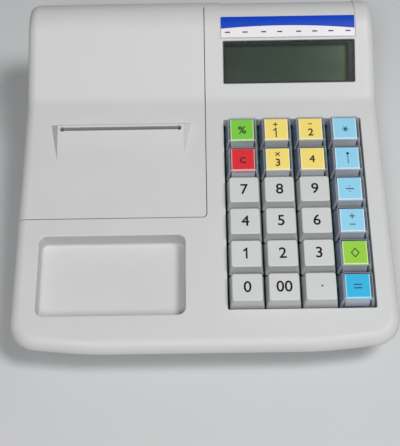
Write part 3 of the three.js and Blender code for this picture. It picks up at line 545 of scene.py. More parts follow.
def make_cover():
    cover = both(make_skin(), cover_space(seam / 2))
    plus(cover, paper_ramp(0))
    minus(cover, paper_ramp(wall))
    x0, x1 = slot_x - slot_len / 2, slot_x + slot_len / 2
    y0, y1 = slot_s - slot_w / 2, slot_s + slot_w / 2
    top = ramp_height + over
    minus(cover, plate(x0, x1, y0, y1, slot_w / 2 - 0.05, -over, top, on_deck, steps=5))
    for x in (x0 + 0.4, x1 - 0.4):
        minus(cover, rod("Z", slot_eye, -over, top, x, slot_s, 24, on_deck))
    clear = hinge_radius + seam
    minus(cover, hinge_rod(clear, -half, bead_left + gap), hinge_rod(clear, bead_right - gap, half))
    plus(cover, hinge_rod(hinge_radius, bead_left + gap, bead_right - gap))
    minus(cover, hinge_rod(pin_radius + gap, -half, half))
    cover.name = "printer_cover_skin"
    return cover


def cover_ledges():
    """The rims of the housing on which the closed cover rests."""
    top = case_block(wall + gap, wall + gap, lip, edge_radius - wall - gap)
    depth = wall + gap + ledge_t
    band = minus(top, case_block(depth, depth, lip - over, gap))
    edge = on_deck @ Vector((0, cover_front, 0))
    x0, x1 = cover_right - ledge_w, cover_right + wall
    low = -wall - ledge_t - over
    rear = hinge_y - hinge_radius - hinge_channel - gap
    right = box(x0, x1, edge.y, rear, hinge_z, case_top)
    y0, y1 = cover_front - ledge_w, cover_front + ledge_w
    plus(right, box(x0, x1, y0, deck_length, low, over, on_deck))
    plus(right, box(-half + edge_radius + wall, x1, y0, y1, low, over, on_deck))
    return both(band, right)


def bay_walls():
    left = cover_right + seam / 2
    right = left + wall
    edge = on_deck @ Vector((0, cover_front, 0))
    front = edge.y - bay_margin
    reach = base_bottom_inset + wall
    walls = box(left, right, front, rear_y, lip, case_top + over)
    plus(walls, box(left, right, front, rear_y - reach, bay_bottom, lip + over))
    plus(walls, box(-half + reach, right, front - wall, front, bay_bottom, edge.z))
    return both(walls, core_block())


def bosses():
    parts = []
    for _, x, y in screws:
        bottom = foot_height + base_boss_h + gap
        boss = rod("Z", boss_radius, bottom, case_top if y < 0 else boss_top, x, y)
        if y > 0:
            x0, x1 = sorted((x, math.copysign(half, x)))
            plus(boss, box(x0, x1, y - gusset_t / 2, y + gusset_t / 2, lip, boss_top))
        parts.append(boss)
    return both(joined(parts), core_block())


def screw_holes():
    top = screw_head_z + screw_head_h + screw_length + gap
    return joined([rod("Z", screw_radius + gap, 0, top, x, y) for _, x, y in screws])


def strip_region(end_angle, start, clearance):
    """The stretch of the case's surface that carries the name strip and the channel above it."""
    low = on_slope @ Vector((0, start - clearance, -over))
    high = on_slope @ Vector((0, start - clearance, over))
    turn = math.pi / 2 + display_angle - end_angle
    ty, tz = math.cos(turn), math.sin(turn)
    near, out = crown_radius - over, crown_radius + over
    outline = [
        (low.y, low.z),
        (crown_y + near * ty, crown_z + near * tz),
        (crown_y + out * ty, crown_z + out * tz),
        (crown_y + out * math.sqrt(2) * max(ty, 0), crown_z + out * math.sqrt(2)),
        (high.y, high.z + over),
        (high.y, high.z),
    ]
    side = strip_w / 2 + clearance
    return prism_x(outline, strip_x - side, strip_x + side)


def make_housing():
    body = minus(make_skin(), cover_space(-seam / 2))
    minus(body, hinge_rod(hinge_radius + hinge_channel, knuckle_left, cover_right))
    wx0, wx1 = window_x - window_w / 2, window_x + window_w / 2
    wy0, wy1 = window_front, window_front + window_l
    width, length = 2 * pitch + keyboard_margin, 3 * pitch + keyboard_margin
    kx0, kx1 = keyboard_x - width, keyboard_x + width
    ky0, ky1 = keyboard_s - length, keyboard_s + length
    x0, x1, y0, y1 = tray_left, tray_right, tray_front, tray_rear
    under = -wall / 2
    plus(body, bay_walls(), cover_ledges())
    w = tray_wall
    plus(body, plate(x0 - w, x1 + w, y0 - w, y1 + w, tray_corner + w,
                     -tray_depth - w, under, on_deck))
    w = well_wall
    plus(body, box(kx0 - w, kx1 + w, ky0 - w, ky1 + w, -well_depth, under, on_deck))
    w = frame_margin
    plus(body, box(wx0 - w, wx1 + w, wy0 - w, wy1 + w, -frame_depth, under, on_slope))
    plus(body, bosses())
    for x, s in post_places:
        plus(body, rod("Z", post_radius, -board_depth + gap, under, x, s, 24, on_deck))
    plus(body, hinge_rod(hinge_radius, knuckle_left - wall / 2, bead_left),
         hinge_rod(hinge_radius, bead_right, cover_right + seam / 2 + wall))
    minus(body, hinge_rod(pin_radius + gap, knuckle_left, cover_right))
    minus(body, pocket(x0, x1, y0, y1, tray_corner, tray_depth, tray_rim, tray_foot, on_deck))
    minus(body, pocket(kx0, kx1, ky0, ky1, well_corner, well_depth + over, well_rim, 0, on_deck, 4))
    seat = window_recess + window_t + gap
    minus(body, pocket(wx0, wx1, wy0, wy1, window_corner, seat, window_rim, 0, on_slope, 4))
    minus(body, box(wx0 + hole_left, wx1 - hole_right, wy0 + hole_end, wy1 - hole_end,
                    -frame_depth - over, 0, on_slope))
    band = minus(
        case_block(-channel_reach, -channel_reach, lip, edge_radius),
        case_block(channel_depth, channel_depth, lip - over, edge_radius - channel_depth))
    minus(body, both(band, strip_region(channel_end, strip_front, gap)))
    minus(body, screw_holes())
    w = socket_half
    minus(body, box(socket_x - w, socket_x + w, rear_y - wall - over, rear_y + over,
                    socket_z - w, socket_z + w))
    body.name = "case_top_skin"
    return body


def base_rings(levels, depth):
    rings = []
    for z, side, front in levels:
        pts = plan_ring(
            half - side - depth, front_y + front + depth, rear_y - side - depth,
            base_front_corner - depth, base_rear_corner - depth, (),
            flat=front_flat, bow=front_bow - depth,
        )
        rings.append([(x, y, z) for x, y in pts])
    return rings


def make_base():
    rise = lip - gap - foot_height

    def level(z):
        t = (foot_height + rise - z) / rise
        side = base_inset + (base_bottom_inset - base_inset) * t
        return (z, side, base_inset + (base_front_inset - base_inset) * t)

    def ring_pair(low, high, depth):
        return base_rings([level(foot_height + low), level(foot_height + rise + high)], depth)

    base = strips(ring_pair(0, 0, 0), None, "base_skin")
    minus(base, strips(ring_pair(wall, gap, wall)))
    ribs = []
    for side in (-1, 1):
        for dx, top in ribs_at:
            x = roll_x + side * dx
            y0, y1 = roll_y - rib_half, roll_y + rib_half
            ribs.append(box(x - rib_t / 2, x + rib_t / 2, y0, y1, foot_height + wall / 2, top))
    ribs = joined(ribs)
    reach = roll_half + gap
    minus(ribs, rod("X", roll_radius + gap, roll_x - reach, roll_x + reach, roll_y, roll_z, 96))
    plus(base, ribs)
    for x, y in frame_posts:
        plus(base, rod("Z", frame_post_radius, foot_height + wall / 2, frame_post_top, x, y))
    for _, x, y in screws:
        plus(base, rod("Z", base_boss_radius, foot_height, foot_height + base_boss_h, x, y))
    minus(base, screw_holes())
    low = foot_height - over
    for _, x, y in screws:
        minus(base, rod("Z", screw_head_radius + 0.5, low, foot_height + counterbore, x, y))
    for _, x, y in feet:
        minus(base, rod("Z", foot_radius + gap, low, foot_height + 1, x, y, 48))
    return base


# ---------------------------------------------------------------- finish of the meshes
def finish_mesh(obj, bevel=0.25, segments=2):
    """Rounds the sharp edges a little, smooths the round stretches and scales to metres."""
    bm = bmesh.new()
    bm.from_mesh(obj.data)
    bmesh.ops.remove_doubles(bm, verts=bm.verts, dist=0.004)
    bmesh.ops.dissolve_degenerate(bm, edges=bm.edges, dist=0.002)
    bm.to_mesh(obj.data)
    bm.free()
    if bevel:
        mod = obj.modifiers.new("edges", "BEVEL")
        mod.width = bevel
        mod.segments = segments
        mod.limit_method = "ANGLE"
        mod.angle_limit = bevel_angle
        mod.use_clamp_overlap = False
        mod.miter_outer = "MITER_ARC"
        baked(obj)
        # at the hinge beads the rounding would stand out behind the case
        for v in obj.data.vertices:
            v.co.y = max(front_y, min(v.co.y, rear_y))
    obj.data.transform(Matrix.Scale(MM, 4))
    for p in obj.data.polygons:
        p.use_smooth = True
    obj.data.set_sharp_from_angle(angle=sharp_angle)
    mod = obj.modifiers.new("normals", "WEIGHTED_NORMAL")
    mod.keep_sharp = True
    mod.weight = 80
    return baked(obj)


# ---------------------------------------------------------------- materials
def lin(r, g, b):
    """An sRGB colour of 0 to 255 as a linear one."""
    def f(c):
        c = c / 255
        return c / 12.92 if c <= 0.04045 else ((c + 0.055) / 1.055) ** 2.4

    return (f(r), f(g), f(b), 1.0)


def noise(tree, at, scale, detail):
    node = tree.nodes.new("ShaderNodeTexNoise")
    node.inputs["Scale"].default_value = scale
    node.inputs["Detail"].default_value = detail
    tree.links.new(at, node.inputs["Vector"])
    return node.outputs["Fac"]


def multiply_add(tree, value, factor, addend):
    node = tree.nodes.new("ShaderNodeMath")
    node.operation = "MULTIPLY_ADD"
    node.inputs[1].default_value = factor
    tree.links.new(value, node.inputs[0])
    tree.links.new(addend, node.inputs[2])
    return node.outputs[0]


def remap(tree, value, from_min, from_max, to_min=0.0, to_max=1.0):
    node = tree.nodes.new("ShaderNodeMapRange")
    node.inputs["From Min"].default_value = from_min
    node.inputs["From Max"].default_value = from_max
    node.inputs["To Min"].default_value = to_min
    node.inputs["To Max"].default_value = to_max
    tree.links.new(value, node.inputs["Value"])
    return node.outputs["Result"]


def material(name, colour, rough, grain=0.25, bump=0.05, mottle=0.03, rough_spread=0.06, **sockets):
    """Moulded or worked surface: fine grain in the bump, slow variation in colour and gloss."""
    mat = bpy.data.materials.new(name)
    mat.use_nodes = True
    tree = mat.node_tree
    bsdf = tree.nodes["Principled BSDF"]
    for key, value in sockets.items():
        bsdf.inputs[key.replace("_", " ")].default_value = value
    at = tree.nodes.new("ShaderNodeTexCoord").outputs["Object"]
    fine = noise(tree, at, 1000 / grain, 3)
    slow = noise(tree, at, 45, 4)
    speck = noise(tree, at, 900, 2)
    tones = tree.nodes.new("ShaderNodeValToRGB")
    ends = zip(tones.color_ramp.elements, (0.4, 0.9), (1 - mottle, 1 + mottle))
    for element, position, factor in ends:
        element.position = position
        element.color = [min(v * factor, 1) for v in colour[:3]] + [1]
    tree.links.new(multiply_add(tree, speck, 0.3, slow), tones.inputs["Fac"])
    tree.links.new(tones.outputs["Color"], bsdf.inputs["Base Color"])
    low, high = max(rough - rough_spread, 0.02), min(rough + rough_spread, 1)
    tree.links.new(remap(tree, slow, 0.3, 0.7, low, high), bsdf.inputs["Roughness"])
    dent = tree.nodes.new("ShaderNodeBump")
    dent.inputs["Strength"].default_value = bump
    dent.inputs["Distance"].default_value = 0.0001
    tree.links.new(fine, dent.inputs["Height"])
    tree.links.new(dent.outputs["Normal"], bsdf.inputs["Normal"])
    return mat


case_mat = material("case_plastic", lin(205, 206, 205), 0.5, 0.35, 0.35, 0.012)
base_mat = material("base_plastic", lin(198, 199, 198), 0.52, 0.35, 0.4, 0.015)
white_mat = material("key_plastic", lin(206, 207, 207), 0.42, 0.3, 0.15, 0.01)
carrier_mat = material("carrier_plastic", lin(240, 242, 246), 0.5, 0.3, 0.1, 0.01)
steel_mat = material("steel", lin(176, 180, 184), 0.32, 0.2, 0.1, 0.05, Metallic=0.95)
rubber_mat = material("rubber", lin(34, 35, 37), 0.8, 0.4, 0.5, 0.1)
black_mat = material("black_plastic", lin(36, 38, 41), 0.45, 0.3, 0.2, 0.06)
gear_mat = material("gear_plastic", lin(232, 229, 220), 0.42, 0.3, 0.1, 0.02)
board_mat = material("board", lin(24, 84, 52), 0.4, 0.3, 0.1, 0.12)
blue_mat = material("blue_film", lin(0, 64, 188), 0.45, 0.3, 0.04, 0.04, Specular_IOR_Level=0.2)
white_film_mat = material("white_film", lin(232, 229, 232), 0.3, 0.3, 0.04, 0.01)
mask_mat = material("mask", lin(8, 18, 32), 0.3, 0.3, 0.05, 0.1)
core_mat = material("card_core", lin(170, 140, 105), 0.85, 0.15, 0.5, 0.06)
label_colours = {
    "green": (122, 204, 52), "red": (218, 14, 18), "yellow": (246, 222, 112),
    "pale": (146, 210, 234), "cyan": (16, 180, 224), "lime": (148, 208, 40),
}
ink_colours = {
    "green": (20, 54, 14), "red": (70, 4, 8), "yellow": (40, 38, 26),
    "pale": (16, 26, 40), "cyan": (8, 42, 66), "lime": (28, 54, 8), "black": (12, 13, 16),
}
# the label rim materials are a painted highlight: lighter copies of each label colour for the light
# the clear cap's edges catch
highlight_lift = 0.6  # how far a card's folded rim is lighter, on the way to white
label_mats, rim_highlight_mats = {}, {}
for key, value in label_colours.items():
    label_mats[key] = material("label_" + key, lin(*value), 0.55, 0.15, 0.08, 0.02)
    light = [c + (255 - c) * highlight_lift for c in value]
    rim_highlight_mats[key] = material("label_highlight_" + key, lin(*light), 0.5, 0.15, 0.05, 0.02)
ink_mats = {
    key: material("ink_" + key, lin(*value), 0.5, 0.2, 0.05, 0.05, Specular_IOR_Level=0.25)
    for key, value in ink_colours.items()
}


def clear_material(name, colour, rough, opacity):
    """Clear moulded plastic: it shows what lies under it, and closes up seen at a slant."""
    mat = material(name, colour, rough, 0.5, 0.03, 0.06, 0.03)
    tree = mat.node_tree
    bsdf = tree.nodes["Principled BSDF"]
    bsdf.inputs["IOR"].default_value = 1.49
    slant = tree.nodes.new("ShaderNodeLayerWeight")
    slant.inputs["Blend"].default_value = 0.5
    curve = tree.nodes.new("ShaderNodeValToRGB")
    curve.color_ramp.interpolation = "B_SPLINE"
    points = curve.color_ramp.elements
    points[0].position, points[1].position = opacity[0][0], opacity[-1][0]
    for position, _ in opacity[1:-1]:
        points.new(position)
    for point, (_, value) in zip(points, opacity):
        point.color = (value, value, value, 1)
    tree.links.new(slant.outputs["Facing"], curve.inputs["Fac"])
    tree.links.new(curve.outputs["Color"], bsdf.inputs["Alpha"])
    return mat


cap_mat = clear_material(
    "clear_plastic", lin(160, 174, 206), 0.08,
    ((0.05, 0.01), (0.5, 0.03), (0.72, 0.55), (0.97, 0.85)))
# painted highlight: a lighter, more opaque clear material for the caps' rounded edges
edge_highlight_mat = clear_material(
    "clear_edge_highlights", lin(222, 228, 240), 0.16,
    ((0.05, 0.3), (0.5, 0.4), (0.8, 0.55), (0.97, 0.8)))
pane_mat = clear_material(
    "pane", lin(40, 50, 48), 0.08,
    ((0.05, 0.12), (0.35, 0.18), (0.6, 0.5), (0.9, 0.9)))


def dress(obj, mat):
    obj.data.materials.clear()
    obj.data.materials.append(mat)
    return obj


def place(obj, mat, body, node=None):
    """Dresses a piece, and says which body it rides on and what it replaces."""
    dress(obj, mat)
    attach(obj, body)
    if node:
        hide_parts(node)
    return obj


# ---------------------------------------------------------------- housing, cover and base
place(finish_mesh(make_housing()), case_mat, "case", "top_housing")
place(finish_mesh(make_cover(), 0.3), case_mat, "cover", "printer_cover")
place(finish_mesh(make_base()), base_mat, "case", "base_shell")


# ---------------------------------------------------------------- keys
def cap_ring(width, length, corner, shift, z):
    pts = plan_ring(width / 2, shift - length / 2, shift + length / 2, corner, corner, (), 6)
    return [(x, y, z) for x, y in pts]


def cap_rings(depth, low, round_edge, corner):
    """Rings of a cap's outer form, or of the space inside it, from its skirt up to its top."""
    w = cap_base - 2 * depth
    tw, tl = cap_top_w - 2 * depth, cap_top_l - 2 * depth
    top = cap_top - depth
    skirt_top = cap_skirt_h - cap_skirt
    rings = [cap_ring(w, w, 1.0, 0, z) for z in (low, skirt_top)]
    for s, c in quarter(cap_steps):
        less = 2 * round_edge * (1 - c)
        z = top - round_edge * (1 - s)
        t = (z - skirt_top) / (top - skirt_top)
        grow_w, grow_l = (w - tw) * (1 - t), (w - tl) * (1 - t)
        rounding = max(corner - depth * 0.4 - less / 2, 0.3)
        rings.append(cap_ring(tw + grow_w - less, tl + grow_l - less, rounding, cap_shift * t, z))
    return rings


def stem_block(top):
    return box(-stem_half, stem_half, -stem_half, stem_half, -stem_depth, top)


def make_cap(name, thick, round_edge, corner, stem):
    cap = strips(cap_rings(0, -cap_skirt, round_edge, corner), None, name)
    minus(cap, strips(cap_rings(thick, -cap_skirt - over, round_edge / 2, corner)))
    if stem:
        plus(cap, stem_block(cap_top - cap_wall / 2))
    return finish_mesh(cap, 0.12)


def make_carrier():
    """The moulding inside a clear cap: a straight block whose front runs out to the skirt."""
    front = cap_shift - label_l / 2
    levels = (
        (cap_skirt_h - cap_skirt, -8.3, 6.0),
        (label_z - label_fold, front + 0.1, 5.8),
        (label_z - 0.35, front + 0.8, 5.8),
    )
    rings = []
    for z, y0, y1 in levels:
        outline = plan_ring(label_w / 2 - 0.1, y0, y1, 0.5, 0.5, (), 4)
        rings.append([(x, y, z) for x, y in outline])
    carrier = strips(rings, None, "carrier")
    plus(carrier, stem_block(0))
    return finish_mesh(carrier, 0.1, 1)


def make_label():
    """The coloured card under the clear top, folded down behind the clear front."""
    side, front, rear = label_w / 2, cap_shift - label_l / 2, cap_shift + label_l / 2
    outer = [(rear, 0), (front + 0.7, 0), (front + 0.3, -0.1), (front, -0.4),
             (front - 0.25, -label_fold)]
    inner = [(front, -label_fold - 0.05), (front + 0.25, -0.5), (front + 0.75, -0.3), (rear, -0.3)]
    card = prism_x([(y, label_z + z) for y, z in outer + inner], -side, side, "card")
    bm = bmesh.new()
    bm.from_mesh(card.data)
    # these cuts mark off the side bands that get the painted highlight
    for x in (label_rim - side, side - label_rim):
        parts = bm.verts[:] + bm.edges[:] + bm.faces[:]
        bmesh.ops.bisect_plane(bm, geom=parts, plane_co=(x, 0, 0), plane_no=(1, 0, 0))
    bm.to_mesh(card.data)
    bm.free()
    return finish_mesh(card, 0)


white_cap = make_cap("white_cap", cap_wall, 0.5, 1.35, True)
clear_cap = make_cap("clear_cap", clear_wall, 0.75, 1.2, False)
carrier = make_carrier()
card = make_label()
# painted highlight: the clear caps' rounded edges and corners get a lighter, more opaque material,
# for the light that clear plastic gathers there
clear_edge_highlights = []
for p in clear_cap.data.polygons:
    across, along, up = (abs(v) for v in p.normal)
    if 0.35 < up < 0.94 or (up <= 0.35 and min(across, along) > 0.3 * max(across, along)):
        clear_edge_highlights.append(p.index)
# painted highlight: the folded front and the sides of a label get a lighter copy of its colour, for
# the light caught at the clear cap's edges
label_highlight_faces = [p.index for p in card.data.polygons
              if abs(p.center.x) > (label_w / 2 - label_rim) * MM or p.normal.y < -0.2]
deck_m = Matrix.Translation(on_deck.translation * MM) @ Matrix.Rotation(deck_angle, 4, "X")
slope_m = Matrix.Translation(on_slope.translation * MM) @ Matrix.Rotation(display_angle, 4, "X")


def key_place(row, col):
    """Middle of a key: across, and up the deck."""
    return keyboard_x + (col - 1.5) * pitch, keyboard_s + (2.5 - row) * pitch


def key_matrix(row, col):
    x, s = key_place(row, col)
    return deck_m @ Matrix.Translation((x * MM, s * MM, 0))


def legend(name, text, size, x, y, z, matrix):
    """Flat printed characters, a few hundredths of a millimetre thick."""
    font = bpy.data.curves.new(name, "FONT")
    font.body = text
    font.size = size * MM
    font.align_x = "CENTER"
    font.align_y = "CENTER"
    font.extrude = 0.01 * MM
    font.bevel_depth = 0.12 * MM
    font.bevel_resolution = 0
    font.resolution_u = 6
    obj = bpy.data.objects.new(name, font)
    bpy.context.scene.collection.objects.link(obj)
    graph = bpy.context.evaluated_depsgraph_get()
    mesh = bpy.data.meshes.new_from_object(obj.evaluated_get(graph), depsgraph=graph)
    bpy.data.objects.remove(obj, do_unlink=True)
    xs = [v.co.x for v in mesh.vertices]
    ys = [v.co.y for v in mesh.vertices]
    mid_x, mid_y = (min(xs) + max(xs)) / 2, (min(ys) + max(ys)) / 2
    mesh.transform(Matrix.Translation((x * MM - mid_x, y * MM - mid_y, z * MM)))
    mesh.transform(matrix)
    out = bpy.data.objects.new(name, mesh)
    bpy.context.scene.collection.objects.link(out)
    return tidy(out, 1e-7)


def strokes(name, lines, width, x, y, z, matrix):
    """Flat printed bars along the given stretches, joined where they cross."""
    bars = []
    for (ax, ay), (bx, by) in lines:
        along = Vector((bx - ax, by - ay)).normalized() * width / 2
        across = Vector((-along.y, along.x))
        corners = []
        for px, py, way in ((x + ax, y + ay, -1), (x + bx, y + by, 1)):
            for turn in (-1, 1):
                px1 = px + along.x * way + across.x * turn
                py1 = py + along.y * way + across.y * turn
                corners += [(px1, py1, z), (px1, py1, z + 0.04)]
        bars.append(tidy(new_object(name, corners, box_faces)))
    out = joined(bars)
    out.name = name
    finish_mesh(out, 0)
    out.data.transform(matrix)
    return out


def cross(r):
    return [((-r, 0), (r, 0)), ((0, -r), (0, r))]


def star(r):
    return [((-r * math.cos(a), -r * math.sin(a)), (r * math.cos(a), r * math.sin(a)))
            for a in (0, math.pi / 3, 2 * math.pi / 3)]


colour_of = [
    ["green", "yellow", "yellow", "pale"],
    ["red", "yellow", "yellow", "pale"],
    [None, None, None, "pale"],
    [None, None, None, "pale"],
    [None, None, None, "lime"],
    [None, None, None, "cyan"],
]
white_legends = [["7", "8", "9"], ["4", "5", "6"], ["1", "2", "3"], ["0", "00", "."]]
one = [((0, -2.7), (0, 2.7)), ((0, 2.6), (-1.3, 1.5))]
point = [((0, 0), (0.02, 0))]
arrow_line = [((0, -3.6), (0, 2.4))]
arrow_tip = [((-0.01, 2.59), (0.01, 2.61))]
times = [((-1.0, -1.0), (1.0, 1.0)), ((-1.0, 1.0), (1.0, -1.0))]
divided = [((-1.9, 0), (1.9, 0)), ((0, 1.6), (0.02, 1.6)), ((0, -1.6), (0.02, -1.6))]
equals = [((-1.9, 1.0), (1.9, 1.0)), ((-1.9, -1.0), (1.9, -1.0))]
lozenge = [((-2, 0), (0, 2.5)), ((0, 2.5), (2, 0)), ((2, 0), (0, -2.5)), ((0, -2.5), (-2, 0))]


def dash(r):
    return [((-r, 0), (r, 0))]


# on each label: characters with a size or bars with a width, then the place across and along
label_legends = {
    (0, 0): [("%", 6.6, 0, 0)],
    (0, 1): [(cross(1.0), 0.55, -0.4, 3.3), (one, 0.66, -0.2, -2.0)],
    (0, 2): [(dash(0.9), 0.55, -0.2, 3.3), ("2", 6.4, 0, -2.0)],
    (0, 3): [(star(1.5), 0.5, 0.3, -0.4)],
    (1, 0): [("C", 5.2, 0, -0.3)],
    (1, 1): [(times, 0.55, 0, 3.2), ("3", 6.4, 0, -2.0)],
    (1, 2): [("4", 6.4, -0.2, 0)],
    (1, 3): [(arrow_line, 0.36, 0.4, 0.4), (arrow_tip, 1.35, 0.4, 0.4)],
    (2, 3): [(divided, 0.55, 0, 0)],
    (3, 3): [(cross(1.3), 0.5, 0, 2.5), (dash(1.3), 0.5, 0, -2.4)],
    (4, 3): [(lozenge, 0.5, 0, 0)],
    (5, 3): [(equals, 0.55, 0, 0)],
}


def piece_from(source, name, matrix, mat, body, node):
    obj = bpy.data.objects.new(name, source.data.copy())
    obj.data.transform(matrix)
    bpy.context.scene.collection.objects.link(obj)
    return place(obj, mat, body, node)


on_label = label_z + 0.02
on_cap = cap_top + 0.02
for row in range(6):
    for col in range(4):
        tag = f"r{row + 1}_c{col + 1}"
        body = "key_" + tag
        node = "keycap_" + tag
        m = key_matrix(row, col)
        colour = colour_of[row][col]
        if colour:
            cap = piece_from(clear_cap, "cap_" + tag, m, cap_mat, body, node)
            # the rounded edges take the painted highlight material
            cap.data.materials.append(edge_highlight_mat)
            for n in clear_edge_highlights:
                cap.data.polygons[n].material_index = 1
            node = "key_label_" + tag
            piece_from(carrier, "carrier_" + tag, m, carrier_mat, body, node)
            label = piece_from(
                card, "label_" + tag, m, label_mats[colour], body, node)
            # painted highlight: the lighter copy of the label colour goes on the fold and side
            # bands
            label.data.materials.append(rim_highlight_mats[colour])
            for n in label_highlight_faces:
                label.data.polygons[n].material_index = 1
            for n, (what, size, x, y) in enumerate(label_legends[(row, col)]):
                draw = legend if isinstance(what, str) else strokes
                mark = draw(f"mark_{tag}_{n}", what, size, x, cap_shift + y, on_label, m)
                place(mark, ink_mats[colour], body)
        else:
            piece_from(white_cap, "cap_" + tag, m, white_mat, body, node)
            text = white_legends[row - 2][col]
            draw, what, size, x = {
                "1": (strokes, one, 0.92, 0.2),
                ".": (strokes, point, 0.85, 0.6),
            }.get(text, (legend, text, 8.6, 0.1))
            digit = draw("digit_" + tag, what, size, x, cap_shift + 0.2, on_cap, m)
            place(digit, ink_mats["black"], body)
for source in (white_cap, clear_cap, carrier, card):
    bpy.data.objects.remove(source, do_unlink=True)

# board with its switches, seen between the keys
board = box(*board_plan, -board_depth - board_t, -board_depth, on_deck, "board_plate")
_, boss_x, boss_y = screws[1]
minus(board, rod("Z", boss_radius + 1, 0, case_top, boss_x, boss_y))
place(finish_mesh(board, 0.1, 1), board_mat, "case", "main_board")
for row in range(6):
    for col in range(4):
        x, s = key_place(row, col)
        low, top = -board_depth + 0.05, -board_depth + switch_height
        w = switch_half
        block = box(x - w, x + w, s - w, s + w, low, top, on_deck)
        w = switch_hole
        minus(block, box(x - w, x + w, s - w, s + w, low + 0.25, 0, on_deck))
        block.name = f"switch_r{row + 1}_c{col + 1}"
        place(finish_mesh(block, 0.4), black_mat, "case")

# ---------------------------------------------------------------- display and name strip
pane_left, pane_right = window_x - window_w / 2, window_x + window_w / 2
pane_rear = window_front + window_l
pane = plate(pane_left, pane_right, window_front, pane_rear, 0.6, -window_recess - window_t,
             -window_recess, on_slope, gap, name="pane")
place(finish_mesh(pane, 0.12), pane_mat, "case", "display_window")

lcd_left, lcd_right = pane_left + gap, pane_right - gap
lcd_top = -frame_depth - gap
lcd = box(lcd_left, lcd_right, window_front + gap, pane_rear - gap, lcd_top - lcd_t, lcd_top,
          on_slope, "lcd_block")
lcd_mat = material("lcd", lin(76, 90, 78), 0.16, 0.3, 0.02, 0.05)


def lcd_tint_and_highlight(mat):
    """A slow change of green across the glass, lighter and warmer towards its right end: a painted
    highlight for light reflected there.
    """
    tree = mat.node_tree
    at = tree.nodes.new("ShaderNodeTexCoord").outputs["Object"]
    part = tree.nodes.new("ShaderNodeSeparateXYZ")
    tree.links.new(at, part.inputs[0])
    wave = 0.03
    cloud = multiply_add(tree, noise(tree, at, 38, 2), wave, part.outputs["X"])
    across = remap(tree, cloud, lcd_left * MM + wave / 2, lcd_right * MM + wave / 2)
    tone = tree.nodes.new("ShaderNodeValToRGB")
    tone.color_ramp.elements[0].color = lin(70, 82, 73)
    # the lightest green at the right end is the painted highlight
    tone.color_ramp.elements[1].color = lin(104, 116, 96)
    tone.color_ramp.elements.new(0.55).color = lin(79, 96, 81)
    tree.links.new(across, tone.inputs["Fac"])
    tree.links.new(tone.outputs["Color"], tree.nodes["Principled BSDF"].inputs["Base Color"])


lcd_tint_and_highlight(lcd_mat)
place(finish_mesh(lcd, 0.2), lcd_mat, "case", "lcd_panel")

# printed border under the pane
border = plate(pane_left + 0.4, pane_right - 0.4, window_front + 0.4, pane_rear - 0.4, 0.5,
               -2.42, -2.27, on_slope, name="pane_border")
minus(border, plate(pane_left + 1.5, pane_right - 3.3, window_front + 1.3, pane_rear - 1.3, 0.6,
                    -4, 0, on_slope))
place(finish_mesh(border, 0), mask_mat, "case")


def strip_point(x, s, lift):
    """A point of the case's surface, s up the slope and on round the crown."""
    if s <= slope_len:
        return on_slope @ Vector((x, s, lift))
    a = math.pi / 2 + display_angle - (s - slope_len) / crown_radius
    r = crown_radius + lift
    return Vector((x, crown_y + r * math.cos(a), crown_z + r * math.sin(a)))


def film(name, s_from, s_to):
    """A printed film on the strip's seat; s_from and s_to give its edges at each place across."""
    columns, rows = 48, 12
    x0, x1 = strip_x - strip_w / 2 + 0.25, strip_x + strip_w / 2 - 0.25
    rings = []
    for i in range(columns + 1):
        x = x0 + (x1 - x0) * i / columns
        u = 2 * i / columns - 1
        along = [s_from(u) + (s_to(u) - s_from(u)) * j / rows for j in range(rows + 1)]
        under = [strip_point(x, s, film_bottom) for s in along]
        rings.append(under + [strip_point(x, s, film_top) for s in reversed(along)])
    return finish_mesh(strips(rings, None, name), 0)


def arch(u):
    """The line between the white and the blue."""
    return 41.6 - 1.7 * u * u - 0.3 * u


film_bottom, film_top = -0.28, 0.16
white_film = film("strip_white", lambda u: strip_front + 0.2, arch)
place(white_film, white_film_mat, "case", "name_strip")
blue_film = film("strip_blue", arch, lambda u: strip_front + strip_len - 0.1)
place(blue_film, blue_mat, "case", "name_strip")

for n, x in enumerate((15.5, 25.6, 36.2, 45.4, 56.3, 65.5, 74.7, 84.5)):
    tick = strokes(f"strip_tick_{n + 1}", dash(1.1), 0.7, x, strip_front + 3.2, film_top, slope_m)
    place(tick, ink_mats["pale"], "case")

# ---------------------------------------------------------------- inside and below
plain = {
    "printer_frame": steel_mat, "drive_motor": steel_mat, "cover_hinge_pin": steel_mat,
    "platen_gear": gear_mat, "motor_pinion": gear_mat,
    "print_head": black_mat, "power_socket": black_mat,
}
for name, mat in plain.items():
    dress(nodes[name], mat)

roll_mat = material("roll_paper", lin(240, 239, 234), 0.85, 0.12, 0.4, 0.015)
roll_centre = (roll_x, roll_y, roll_z)
r, h, bevel, hole = roll_radius, roll_half, 0.3, core_outer + 0.05
roll = turned(
    [(hole, -h), (r - bevel, -h), (r, bevel - h), (r, h - bevel), (r - bevel, h), (hole, h)],
    "X", roll_centre, 96, "roll_paper")
place(finish_mesh(roll, 0), roll_mat, "roll", "paper_roll")
h -= 0.1
core = turned([(core_inner, -h), (core_outer, -h), (core_outer, h), (core_inner, h)],
              "X", roll_centre, 64, "roll_core")
place(finish_mesh(core, 0), core_mat, "roll")

platen = turned([(0.0, -38.9), (1.8, -38.9), (2.0, -38.7), (2.0, -32.0), (5.7, -32.0), (6.0, -31.7),
                 (6.0, 31.7), (5.7, 32.0), (2.0, 32.0), (2.0, 42.0), (1.8, 42.2), (0.0, 42.2)],
                "X", platen_centre, 64, "platen_body")
place(finish_mesh(platen, 0), rubber_mat, "platen", "platen_roller")

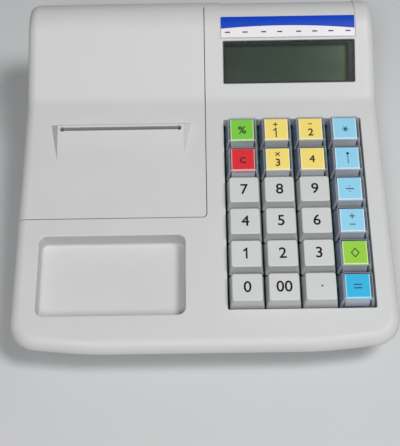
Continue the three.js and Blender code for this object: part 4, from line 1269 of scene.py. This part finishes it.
pad = [(0, 0), (5.4, 0), (6.3, 0.3), (foot_radius, 1.2), (foot_radius, 3.7), (0, 3.7)]
for name, x, y in feet:
    foot = turned(pad, "Z", (x, y, 0), 48, "pad_" + name)
    place(finish_mesh(foot, 0), rubber_mat, "case", "foot_" + name)
shank_top = screw_head_h + screw_length
screw_profile = [
    (0, 0), (2.3, 0), (screw_head_radius, 0.5), (screw_head_radius, screw_head_h),
    (screw_radius, screw_head_h), (screw_radius, shank_top - 0.3), (1.1, shank_top), (0, shank_top),
]
recess_long, recess_short = 1.7, 0.35
for name, x, y in screws:
    z = screw_head_z
    screw = turned(screw_profile, "Z", (x, y, z), 40, "screw_" + name)
    for w, h in ((recess_long, recess_short), (recess_short, recess_long)):
        minus(screw, box(x - w, x + w, y - h, y + h, z - 1, z + 1.1))
    place(finish_mesh(screw, 0.05, 1), steel_mat, "case", "case_screw_" + name)

# ---------------------------------------------------------------- floor, light and camera
floor_mat = material("floor", lin(205, 206, 207), 0.9, 2.0, 0.02, 0.003)
floor = new_object("floor", [(-4, -4, 0), (4, -4, 0), (4, 4, 0), (-4, 4, 0)], [(0, 1, 2, 3)])
dress(floor, floor_mat)

world = bpy.data.worlds.new("studio")
world.use_nodes = True
sky = world.node_tree.nodes["Background"]
sky.inputs["Color"].default_value = (0.98, 0.99, 1.0, 1)
sky.inputs["Strength"].default_value = 0.12
bpy.context.scene.world = world


def area(name, position, size, power):
    """A soft square light that looks at the part."""
    data = bpy.data.lights.new(name, "AREA")
    data.shape = "RECTANGLE"
    data.size = data.size_y = size
    data.energy = power
    obj = bpy.data.objects.new(name, data)
    obj.location = position
    aim = Vector((0, 0, 0.03)) - Vector(position)
    obj.rotation_euler = aim.to_track_quat("-Z", "Y").to_euler()
    bpy.context.scene.collection.objects.link(obj)


area("key_light", (0.62, -0.3, 1.4), 0.45, 12.9)
area("fill_light", (-0.15, -0.95, 1.15), 0.4, 8.3)

bpy.context.scene.view_settings.view_transform = "Standard"
bpy.context.scene.view_settings.look = "None"

camera_data = bpy.data.cameras.new("camera")
camera_data.sensor_fit = "AUTO"
camera_data.sensor_width = 36
camera_data.lens = 84.7526
camera_data.clip_start = 0.01
camera_data.clip_end = 20
camera = bpy.data.objects.new("camera", camera_data)
camera.location = (0.001826, -0.364013, 0.498485)
camera.rotation_euler = Euler((0.619116, 0.013779, -0.008667), "XYZ")
bpy.context.scene.collection.objects.link(camera)
bpy.context.scene.camera = camera
